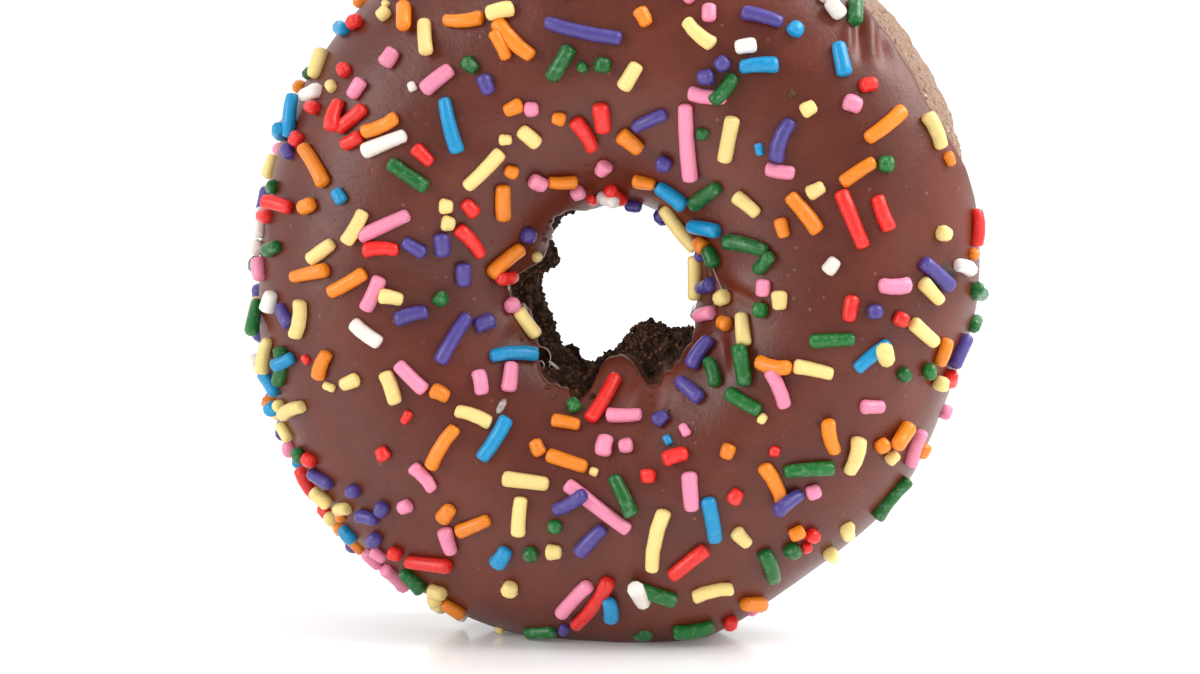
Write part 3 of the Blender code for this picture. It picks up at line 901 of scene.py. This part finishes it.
def crowding(ring, tube):
    """How thickly the sprinkles lie at a place, from 0 to 1."""
    clumps = sum(
        hump(ring, at, spread) * hump(tube, across, width) * by
        for at, spread, across, width, by in CLUMPS
    )
    bare_rim = BARE_RIM * smooth((RIM[1] - tube) / (RIM[1] - RIM[0])) * (1 - hump(ring, *FULL_RIM))
    return max(0.0, 1 + clumps - bare_rim) / CROWDED


def ends_of(ring, tube, heading, length):
    """The places of a sprinkle's two ends. Heading 0 runs round the ring, and 90 towards the hole."""
    out = smooth_cake(ring, tube)
    half = math.degrees(length / 2)
    ring_step = half * math.cos(math.radians(heading)) / math.hypot(out.x, out.z)
    tube_step = half * math.sin(math.radians(heading)) / FRONT_DEPTH
    return [(ring + side * ring_step, tube + side * tube_step) for side in (-1, 1)]


def lie(middle, ends, length, radius, colour):
    """A sprinkle that lies on the icing, with its middle and ends at those ring and tube angles."""
    lift = ICING + radius - SUNK
    middle, low, high = [surface(*spot, lift) for spot in (middle, *ends)]
    axis = (high - low).normalized()
    centre = (low + high) / 2
    centre += (middle - centre) * PRESSED
    sprinkle = Sprinkle(centre, axis, length, radius, colour)
    centre.z = max(centre.z, drop(sprinkle))
    return sprinkle


def drop(sprinkle):
    """How far a sprinkle reaches below its centre."""
    slope = abs(sprinkle.axis.z)
    body = sprinkle.length / 2 - sprinkle.radius * POINT
    return max(slope * body + sprinkle.radius * math.sqrt(1 - slope**2), slope * sprinkle.length / 2)


def under_foot(sprinkle):
    """Whether a sprinkle would lie under the flat that the doughnut stands on, or reach into the floor."""
    low = sprinkle.centre.z < 2 * SPRINKLE_RADIUS
    return low and abs(sprinkle.centre.y - CENTRE.y) < FOOT or sprinkle.centre.z < drop(sprinkle)


def gap_between(one, other):
    """The gap between two sprinkles, measured at five places along the first, and the offset there."""
    best = (1.0, 0.0)
    if (one.centre - other.centre).length > (one.length + other.length) / 2:
        return best
    for i in range(5):
        along = (i / 4 - 0.5) * (one.length - one.radius)
        point = one.centre + one.axis * along
        reach = (other.length - other.radius) / 2
        shift = min(reach, max(-reach, (point - other.centre).dot(other.axis)))
        gap = (point - other.centre - other.axis * shift).length - one.radius - other.radius
        best = min(best, (gap, along))
    return best


def rest_on(sprinkle, gap, along, up):
    """The sprinkle tipped up, so that it lies across another one and its farther end in the icing."""
    apart = 2 * SPRINKLE_RADIUS
    rise = math.sqrt(max(0.0, (apart - SUNK) ** 2 - (apart + gap) ** 2))
    far = -math.copysign(sprinkle.length / 2, along)
    lean = math.copysign(rise / abs(along - far), along)
    axis = (sprinkle.axis + up * lean).normalized()
    foot = sprinkle.centre + sprinkle.axis * far - up * SUNK / 2
    return sprinkle._replace(centre=foot - axis * far, axis=axis)


def settle(sprinkle, up, found):
    """The sprinkle, laid on the one that it would cross, or None where it would cross two."""
    gaps = sorted(gap_between(sprinkle, other) for other in found)
    if sum(gap < 0 for gap, _ in gaps) > 1:
        return None
    return rest_on(sprinkle, *gaps[0], up) if gaps and gaps[0][0] < 0 else sprinkle


def on_face(aim, margin):
    """The ring and tube angles of the icing's face behind a point, margin degrees short of its edge."""
    ring = math.degrees(math.atan2(aim.z, aim.x))
    low, high = 0.0, inner_edge(ring) - margin
    while high - low > 0.2:
        tube = (low + high) / 2
        place = surface(ring, tube, ICING) - CENTRE
        too_far_out = math.hypot(place.x, place.z) > math.hypot(aim.x, aim.z)
        low, high = (tube, high) if too_far_out else (low, tube)
    return ring, low


def in_view(place):
    """Where a place shows in the photograph: x to the right of the ring's centre, and z above it."""
    back, right, up = view_axes()
    out = place - CENTRE
    nearer = DISTANCE / (DISTANCE - back.dot(out))
    return Vector((right.dot(out), 0, up.dot(out))) * nearer


def behind(x, z, margin=FROM_EDGE):
    """The ring and tube angles of the icing's face that shows at x and z in the photograph."""
    wanted = Vector((x, 0, z))
    aim = wanted.copy()
    for _ in range(5):
        spot = on_face(aim, margin)
        aim += wanted - in_view(surface(*spot, ICING))
    return spot


def placed_sprinkles():
    found = []
    for colour, rows in PLACED.items():
        for x, z, heading, length in rows:
            run = Vector((math.cos(math.radians(heading)), math.sin(math.radians(heading)))) * length / 2
            ends = [behind((x + side * run.x) * MM, (z + side * run.y) * MM) for side in (-1, 1)]
            middle = behind(x * MM, z * MM)
            sprinkle = lie(middle, ends, length * MM, SPRINKLE_RADIUS, colour)
            found.append(settle(sprinkle, normal(*middle), found) or sprinkle)
    return found


def draw_colour(draw):
    return draw.choices(list(COLOURS), [share for _, share in COLOURS.values()])[0]


def scattered_sprinkle(draw):
    """One place and one sprinkle for it, or None where the draw falls on a thin spot."""
    ring = draw.uniform(0, 360)
    tube = draw.uniform(*SCATTER_SPAN)
    heading = draw.uniform(0, 180)
    size = draw.random()
    radius = SPRINKLE_RADIUS * draw.uniform(0.88, 1.1)
    chance = draw.random()
    colour = draw_colour(draw)
    stays = draw.random() < STACKED
    length = SHORTEST + (LONGEST - SHORTEST) * size**2
    ends = ends_of(ring, tube, heading, length)
    outer, inner = EDGE_MARGINS
    if not all(outer_edge(at) + outer < across < inner_edge(at) - inner for at, across in ends):
        return None
    out = smooth_cake(ring, tube)
    if chance > crowding(ring, tube) * math.hypot(out.x, out.z) / OUTER_RADIUS:
        return None
    return lie((ring, tube), ends, length, radius, colour), normal(ring, tube), stays


def all_sprinkles(scattered):
    """Every sprinkle. None of them crosses another, apart from those that lie on one."""
    draw = random.Random(SEED)
    found = placed_sprinkles()
    count = len(found) + scattered
    while len(found) < count:
        drawn = scattered_sprinkle(draw)
        if drawn is None:
            continue
        sprinkle, up, stays = drawn
        settled = settle(sprinkle, up, found)
        if settled and (stays or settled is sprinkle) and not under_foot(settled):
            found.append(settled)
    return found


def without_stacked(sprinkles):
    """The sprinkles without the short ones that lie on another."""
    return [
        one
        for one in sprinkles
        if one.length > SHORTEST_STACKED
        or all(gap_between(one, other)[0] > -SUNK / 2 for other in sprinkles if other is not one)
    ]


def broken_bits(count, others):
    """Small broken bits of sprinkle, sunk in the icing clear of the whole ones."""
    draw = random.Random(BROKEN_SEED)
    found = []
    while len(found) < count:
        ring, tube = draw.uniform(0, 360), draw.uniform(*BROKEN_SPAN)
        length, radius = draw.uniform(*BROKEN_LENGTH), draw.uniform(*BROKEN_RADIUS)
        colour = draw_colour(draw)
        heading = draw.uniform(0, 180)
        if not outer_edge(ring) + BROKEN_MARGINS[0] <= tube <= inner_edge(ring) - BROKEN_MARGINS[1]:
            continue
        bit = lie((ring, tube), ends_of(ring, tube, heading, length), length, radius, colour)
        if all(gap_between(bit, other)[0] > 0 for other in others + found) and not under_foot(bit):
            found.append(bit)
    return found


def turn_stick():
    """One sugar stick as a mesh: half its outline, spun round its own axis."""
    shape = bmesh.new()
    outline = [(radius, -along) for radius, along in reversed(STICK_HALF)] + list(STICK_HALF)
    corners = [shape.verts.new((radius, 0, along)) for radius, along in outline]
    edges = [shape.edges.new(pair) for pair in zip(corners, corners[1:])]
    bmesh.ops.spin(
        shape,
        geom=corners + edges,
        cent=(0, 0, 0),
        axis=(0, 0, 1),
        angle=math.tau,
        steps=STICK_SIDES,
        use_merge=True,
    )
    bmesh.ops.remove_doubles(shape, verts=shape.verts[:], dist=0.001)
    bmesh.ops.recalc_face_normals(shape, faces=shape.faces[:])
    return as_mesh("stick", shape)


def lay_stick(vertices, sprinkle, draw, bend):
    """Stretches a stick's points to a sprinkle's size, bends, tapers and dents them, and lays it down."""
    half = sprinkle.length / 2 - sprinkle.radius * POINT
    side = Matrix.Rotation(draw.uniform(0, math.tau), 3, "Z") @ Vector((1, 0, 0))
    bow = side * bend * draw.uniform(-1, 1) * min(1.0, sprinkle.length / LONGEST) ** 2
    taper = draw.uniform(-0.09, 0.09)
    flat = draw.uniform(0.9, 1.0)
    offset = Vector((draw.uniform(0, 50), draw.uniform(0, 50), draw.uniform(0, 50)))
    turn = sprinkle.axis.to_track_quat("Z", "Y").to_matrix()
    for vertex in vertices:
        share = min(1.0, max(-1.0, vertex.co.z))
        along = share * half + (vertex.co.z - share) * sprinkle.radius * POINT
        lump = 1 + 0.05 * noise.noise(vertex.co * 0.9 + offset) + taper * share
        around = Vector((vertex.co.x, vertex.co.y * flat, 0)) * sprinkle.radius * lump
        around += bow * (1 - share * share)
        spot = sprinkle.centre + turn @ (around + Vector((0, 0, along)))
        spot.z = max(spot.z, 0.0)
        vertex.co = spot


def make_sprinkles(name, sprinkles, colour, bend, number):
    """All the sprinkles of one colour, as one piece."""
    draw = random.Random(WEAR_SEED + number)
    stick = turn_stick()
    shape = bmesh.new()
    fade = shape.verts.layers.float.new("fade")
    for sprinkle in sprinkles:
        vertices = add_copy(shape, stick)
        lay_stick(vertices, sprinkle, draw, bend)
        shade = draw.uniform(0, 1)
        for vertex in vertices:
            vertex[fade] = shade
    bpy.data.meshes.remove(stick)
    material = sprinkle_finish(f"{name}_sugar", colour, name)
    finish_piece(f"{name}_sprinkles", shape, material, "sprinkles", "icing")


def sprinkle_finish(title, colour, name):
    """Waxy coloured sugar, mottled, and a little different from stick to stick."""
    finish = Finish(title, IOR=1.45, Specular_IOR_Level=0.45, Coat_Roughness=0.22, Coat_Weight=0.2)
    mottle = finish.clouds(0.7 * MM, 2, 0.6)
    fine = finish.clouds(0.22 * MM, 2)
    fade = finish.layer("fade")
    pale = [value + (1 - value) * (0.11 if name == "green" else 0.07) for value in colour]
    deep = [value * (0.74 if name == "green" else 0.86) for value in colour]
    blotches = 0.6 if name == "green" else 0.3
    tone = finish.mix(fade * 0.6 + (mottle - 0.5) * 0.9, deep, colour)
    tone = finish.mix(fade.rise(0.1, 1.0) * 0.9, tone, colour)
    tone = finish.mix(mottle.rise(0.52, 0.68) * blotches, tone, pale)
    roughness = 0.34 + (fine - 0.5) * 0.2
    return finish.cover(tone, roughness, mottle * 0.6 + fine * 0.4, 0.035 * MM)


# Crumbs and threads of glaze


class CrumbSettings(bpy.types.PropertyGroup):
    count: count_property("Crumbs", "How many loose crumbs lie on the icing round the hole", 46)
    torn: count_property("Torn crumb", "How many small clumps cling to the torn crumb in the hole", 4000)
    band: count_property("Crumbs on the band", "How many small crumbs stick to the rim's pale band", 450)
    largest: length_property("Largest crumb", "Width that the others are measured by", 0.62 * MM)
    thread: length_property("Thread", "Thickness of the threads of glaze", 0.16 * MM)
    crumb: colour_property("Crumb", "Loose crumbs", (0.15, 0.066, 0.032))
    glaze: colour_property("Glaze", "Threads of glaze", (0.55, 0.46, 0.42))


def crumbs_on_icing(settings, draw):
    """Where crumbs lie on the icing, and their width: some that stand out, and others round the hole."""
    for x, z, width in MARKED_CRUMBS:
        yield surface(*behind(x * MM, z * MM), ICING), width * MM
    for _ in range(settings.count):
        ring = draw.uniform(*CRUMB_RINGS)
        tube = inner_edge(ring) - math.degrees(BEAD / FRONT_DEPTH) - abs(draw.gauss(1, 6))
        width = settings.largest * draw.uniform(0.35, 1) ** 2
        yield surface(ring, tube, ICING + width * 0.1), width


def crumbs_in_hole(settings, cake, draw):
    """Where clumps cling to the torn crumb, and their width."""
    for _ in range(settings.torn):
        ring = draw.uniform(0, 360)
        tube = inner_edge(ring) + TORN_START + (TORN_END - inner_edge(ring)) * draw.random()
        spot, _ = cake_point(ring, tube, cake)
        yield spot, settings.largest * draw.uniform(0.35, 1.1)


def crumbs_on_band(settings, cake, draw):
    """Where small crumbs stick to the pale band of the rim, and their width."""
    for _ in range(settings.band):
        ring = draw.uniform(*BAND)
        tube = outer_edge(ring) - BARE / 2 - abs(draw.gauss(0, BAND_SPAN))
        spot, _ = cake_point(ring, tube, cake)
        yield spot, settings.largest * draw.uniform(0.3, 0.7)


def ball(finely):
    """A round ball as a mesh, which each crumb starts from."""
    shape = bmesh.new()
    bmesh.ops.create_icosphere(shape, subdivisions=finely, radius=0.5)
    return as_mesh("ball", shape)


def make_crumbs(settings, cake):
    draw = random.Random(CRUMB_SEED)
    shape = bmesh.new()
    high = shape.verts.layers.float.new("high")
    pale = shape.verts.layers.float.new("pale")
    # How finely the crumbs are divided, how pale they are, and where they lie
    sets = (
        (2, 0.0, crumbs_on_icing(settings, draw)),
        (1, 0.0, crumbs_in_hole(settings, cake, draw)),
        (1, 1.0, crumbs_on_band(settings, cake, draw)),
    )
    for finely, paleness, places in sets:
        start = ball(finely)
        for spot, width in places:
            offset = Vector((draw.uniform(0, 50), draw.uniform(0, 50), 0))
            turn = Matrix.Rotation(draw.uniform(0, math.tau), 3, offset)
            shade = draw.random()
            for vertex in add_copy(shape, start):
                out = turn @ vertex.co
                vertex.co = spot + out * width * (1 + 0.9 * noise.noise(out * 3 + offset))
                vertex[high] = shade
                vertex[pale] = paleness
        bpy.data.meshes.remove(start)
    finish = Finish("loose_crumb", Specular_IOR_Level=0.25)
    speckle = finish.clouds(0.25 * MM, 3)
    dark = [value * 0.25 for value in settings.crumb]
    shade = speckle + (finish.layer("high") - 0.5) * 0.7
    brown = finish.mix(shade.rise(0.3, 0.7), dark, settings.crumb)
    # The band's crumbs are painted lighter than the band itself: painted light on their sides that the
    # lamps leave in shade.
    light = [value * 1.4 for value in cake.band]
    tan = finish.mix(shade.rise(0.1, 0.4), TAN, light)
    colour = finish.mix(finish.layer("pale"), brown, tan)
    finish.cover(colour, 0.72 + speckle * 0.2, speckle, 0.06 * MM)
    finish_piece("crumbs", shape, finish.material, "cake", "cake")


def tube_along(routes, thickness):
    """Thin tubes along smooth curves, as one closed mesh in a bmesh."""
    line = bpy.data.curves.new("threads", "CURVE")
    line.dimensions = "3D"
    line.bevel_depth = thickness / 2
    line.bevel_resolution = 1
    line.resolution_u = 6
    line.use_fill_caps = True
    for points in routes:
        spline = line.splines.new("BEZIER")
        spline.bezier_points.add(len(points) - 1)
        for number, (spot, place) in enumerate(zip(spline.bezier_points, points)):
            spot.co = place
            spot.radius = 0.7 + 0.3 * (number % 2)
            spot.handle_left_type = "AUTO"
            spot.handle_right_type = "AUTO"
    holder = bpy.data.objects.new("thread_line", line)
    bpy.context.scene.collection.objects.link(holder)
    mesh = bpy.data.meshes.new_from_object(holder.evaluated_get(bpy.context.evaluated_depsgraph_get()))
    shape = bmesh.new()
    shape.from_mesh(mesh)
    bmesh.ops.remove_doubles(shape, verts=shape.verts[:], dist=0.001 * MM)
    bmesh.ops.recalc_face_normals(shape, faces=shape.faces[:])
    bpy.data.objects.remove(holder)
    bpy.data.curves.remove(line)
    bpy.data.meshes.remove(mesh)
    return shape


def make_threads(settings):
    """Glaze drawn out between the icing and the crumb: fine threads, and small milky smears."""
    routes = []
    for points in THREADS:
        spots = [behind(x * MM, z * MM, PAST_EDGE) for x, z in points]
        lifts = [ICING * 0.6] + [ICING + settings.thread * 1.5] * (len(points) - 2) + [ICING * 0.6]
        routes.append([surface(*spot, lift) for spot, lift in zip(spots, lifts)])
    shape = tube_along(routes, settings.thread)
    thick = shape.verts.layers.float.new("thick")
    for vertex in shape.verts:
        vertex[thick] = 1.0
    for x, z, heading, length, width in SMEARS:
        spot = behind(x * MM, z * MM, PAST_EDGE)
        place = surface(*spot, ICING + SMEAR_HEIGHT / 2)
        out = normal(*spot)
        run = Matrix.Rotation(-math.radians(heading), 3, "Y") @ Vector((1, 0, 0))
        along = (run - out * run.dot(out)).normalized()
        turn = Matrix((along, out.cross(along), out)).transposed().to_4x4()
        size = Matrix.Diagonal((length * MM / 2, width * MM / 2, SMEAR_HEIGHT, 1))
        made = bmesh.ops.create_icosphere(shape, subdivisions=3, radius=1)["verts"]
        for vertex in made:
            vertex[thick] = 1 - vertex.co.xy.length_squared
        bmesh.ops.transform(shape, verts=made, matrix=Matrix.Translation(place) @ turn @ size)
    finish = Finish("glaze", IOR=1.45)
    streaks = finish.clouds(0.4 * MM, 2)
    deep = [value * 0.7 for value in settings.glaze]
    colour = finish.mix(streaks.rise(0.35, 0.65), deep, settings.glaze)
    milky = (finish.layer("thick") + (streaks - 0.5) * 0.5).rise(0.0, 0.8) * 0.85
    finish.feed(finish.shader.inputs["Alpha"], milky)
    finish.cover(colour, 0.35 + streaks * 0.2, streaks, 0.02 * MM)
    finish_piece("glaze_threads", shape, finish.material, "icing", "icing")


# The table, the light and the camera


class StageSettings(bpy.types.PropertyGroup):
    table_radius: length_property("Table radius", "The table fades into the room at this distance", 0.42)
    glow: brightness_property("Table glow", "Light from under the white table", 0.09)
    around: brightness_property("Tent", "Brightness of the white tent all round", 1.12)
    front: brightness_property("Opening", "Brightness where the tent is open, in front", 0.5)
    backdrop: brightness_property("Backdrop", "Brightness of the backdrop as it shows", 1.2)
    left: brightness_property("Left lamp", "Lamp at the left, in front", 1.2, unit="POWER")
    right: brightness_property("Right lamp", "Lamp at the right, in front", 0.3, unit="POWER")
    above: brightness_property("High lamp", "Lamp high at the right", 3.7, unit="POWER")


def place_camera():
    back, right, up = view_axes()
    width, height = IMAGE_SIZE
    aim = CENTRE + right * (width / 2 - RING_CENTRE_PIXEL[0]) * PIXEL
    aim += up * (RING_CENTRE_PIXEL[1] - height / 2) * PIXEL
    camera = bpy.data.objects.new("camera", bpy.data.cameras.new("camera"))
    camera.data.lens = camera.data.sensor_width * DISTANCE / (width * PIXEL)
    camera.data.clip_start = 0.01
    turn = Matrix((right, up, back)).transposed().to_4x4()
    camera.matrix_world = Matrix.Translation(aim + back * DISTANCE) @ turn
    bpy.context.scene.collection.objects.link(camera)
    bpy.context.scene.camera = camera


def place_lamp(name, place, width, power):
    """A square soft lamp that points at the doughnut."""
    lamp = bpy.data.objects.new(name, bpy.data.lights.new(name, "AREA"))
    lamp.data.energy = power
    lamp.data.size = width
    lamp.location = place
    lamp.rotation_euler = (CENTRE - Vector(place)).to_track_quat("-Z", "Y").to_euler()
    bpy.context.scene.collection.objects.link(lamp)


def light_room(settings):
    """White light from all round, as in a white tent that is open, and so dimmer, in front."""
    world = bpy.data.worlds.new("room")
    bpy.context.scene.world = world
    world.use_nodes = True
    nodes = Nodes(world.node_tree)
    direction = nodes.add("ShaderNodeTexCoord", output="Generated")
    vectors = {0: direction, 1: view_axes()[0]}
    to_the_front = nodes.add("ShaderNodeVectorMath", {"operation": "DOT_PRODUCT"}, vectors, output="Value")
    strength = settings.around + to_the_front.rise(*OPENING) * (settings.front - settings.around)
    tent = nodes.add("ShaderNodeBackground", inputs={"Color": WHITE, "Strength": strength})
    backdrop = nodes.add("ShaderNodeBackground", inputs={"Color": WHITE, "Strength": settings.backdrop})
    shown = nodes.add("ShaderNodeLightPath", output="Is Camera Ray")
    both = nodes.add("ShaderNodeMixShader", inputs={0: shown, 1: tent, 2: backdrop})
    nodes.feed(world.node_tree.nodes["World Output"].inputs["Surface"], both)


def make_table(settings):
    """A glossy white table top, which fades out towards its rim."""
    shape = bmesh.new()
    middle = Matrix.Translation((CENTRE.x, CENTRE.y, -0.05 * MM))
    bmesh.ops.create_circle(shape, cap_ends=True, segments=96, radius=settings.table_radius, matrix=middle)
    mesh = as_mesh("table", shape)
    table = bpy.data.objects.new("table", mesh)
    bpy.context.scene.collection.objects.link(table)
    finish = Finish("white_table", Base_Color=TABLE_WHITE, Roughness=0.15, Specular_IOR_Level=0.18)
    finish.feed(finish.shader.inputs["Emission Color"], WHITE)
    finish.feed(finish.shader.inputs["Emission Strength"], settings.glow)
    away = finish.add("ShaderNodeVectorMath", {"operation": "LENGTH"}, {0: finish.places}, output="Value")
    shown = away.rise(settings.table_radius * 0.95, settings.table_radius * 0.35)
    finish.feed(finish.shader.inputs["Alpha"], shown)
    mesh.materials.append(finish.material)
    table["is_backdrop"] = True


# Operators


def settings_of(context):
    return context.scene.doughnut


class DOUGHNUT_OT_cake(bpy.types.Operator):
    """Bakes the cake: crust outside and torn crumb in the hole"""

    bl_idname = "doughnut.cake"
    bl_label = "Cake"

    def execute(self, context):
        make_cake(settings_of(context).cake)
        return {"FINISHED"}


class DOUGHNUT_OT_icing(bpy.types.Operator):
    """Spreads the icing over the cake's face"""

    bl_idname = "doughnut.icing"
    bl_label = "Icing"

    def execute(self, context):
        make_icing(settings_of(context).icing)
        return {"FINISHED"}


class DOUGHNUT_OT_sprinkles(bpy.types.Operator):
    """Scatters the sugar sprinkles on the icing, one piece for each colour"""

    bl_idname = "doughnut.sprinkles"
    bl_label = "Sprinkles"

    def execute(self, context):
        settings = settings_of(context).sprinkles
        colours = settings_of(context).colours
        sprinkles = without_stacked(all_sprinkles(settings.scattered))
        sprinkles += broken_bits(settings.broken, sprinkles)
        for number, name in enumerate(COLOURS):
            chosen = [sprinkle for sprinkle in sprinkles if sprinkle.colour == name]
            make_sprinkles(name, chosen, getattr(colours, name), settings.bend, number)
        return {"FINISHED"}


class DOUGHNUT_OT_crumbs(bpy.types.Operator):
    """Drops loose crumbs on the icing, and draws threads of glaze over the hole's crumb"""

    bl_idname = "doughnut.crumbs"
    bl_label = "Crumbs"

    def execute(self, context):
        settings = settings_of(context)
        make_crumbs(settings.crumbs, settings.cake)
        make_threads(settings.crumbs)
        return {"FINISHED"}


class DOUGHNUT_OT_stage(bpy.types.Operator):
    """Sets up the table, the soft lamps and the camera"""

    bl_idname = "doughnut.stage"
    bl_label = "Stage"

    def execute(self, context):
        settings = settings_of(context).stage
        make_table(settings)
        light_room(settings)
        for name, power, place, width in LAMPS:
            place_lamp(name, place, width, getattr(settings, power))
        place_camera()
        context.scene.view_settings.view_transform = "Standard"
        return {"FINISHED"}


class DoughnutSettings(bpy.types.PropertyGroup):
    cake: PointerProperty(type=CakeSettings)
    icing: PointerProperty(type=IcingSettings)
    sprinkles: PointerProperty(type=SprinkleSettings)
    colours: PointerProperty(type=SprinkleColours)
    crumbs: PointerProperty(type=CrumbSettings)
    stage: PointerProperty(type=StageSettings)


class DOUGHNUT_PT_panel(bpy.types.Panel):
    """Everything that makes the doughnut, with its settings"""

    bl_label = "Chocolate doughnut"
    bl_idname = "DOUGHNUT_PT_panel"
    bl_space_type = "VIEW_3D"
    bl_region_type = "UI"
    bl_category = "Doughnut"

    def draw(self, context):
        settings = settings_of(context)
        parts = (
            ("doughnut.cake", (settings.cake,)),
            ("doughnut.icing", (settings.icing,)),
            ("doughnut.sprinkles", (settings.sprinkles, settings.colours)),
            ("doughnut.crumbs", (settings.crumbs,)),
            ("doughnut.stage", (settings.stage,)),
        )
        for operator, groups in parts:
            box = self.layout.box()
            box.operator(operator)
            for group in groups:
                for name in type(group).__annotations__:
                    box.prop(group, name)


CLASSES = (
    CakeSettings,
    IcingSettings,
    SprinkleSettings,
    SprinkleColours,
    CrumbSettings,
    StageSettings,
    DoughnutSettings,
    DOUGHNUT_OT_cake,
    DOUGHNUT_OT_icing,
    DOUGHNUT_OT_sprinkles,
    DOUGHNUT_OT_crumbs,
    DOUGHNUT_OT_stage,
    DOUGHNUT_PT_panel,
)


def register():
    for each in CLASSES:
        bpy.utils.register_class(each)
    bpy.types.Scene.doughnut = PointerProperty(type=DoughnutSettings)


def unregister():
    del bpy.types.Scene.doughnut
    for each in reversed(CLASSES):
        bpy.utils.unregister_class(each)


def write_sizes():
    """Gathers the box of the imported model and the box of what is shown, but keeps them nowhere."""
    boxes = {"cad": CAD_BOX, "visual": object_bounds()}
    {name: [list(corner) for corner in box] for name, box in boxes.items()}


def main():
    register()
    bpy.ops.doughnut.stage()
    bpy.ops.doughnut.cake()
    bpy.ops.doughnut.icing()
    bpy.ops.doughnut.sprinkles()
    bpy.ops.doughnut.crumbs()
    write_sizes()


if __name__ == "__main__":
    main()
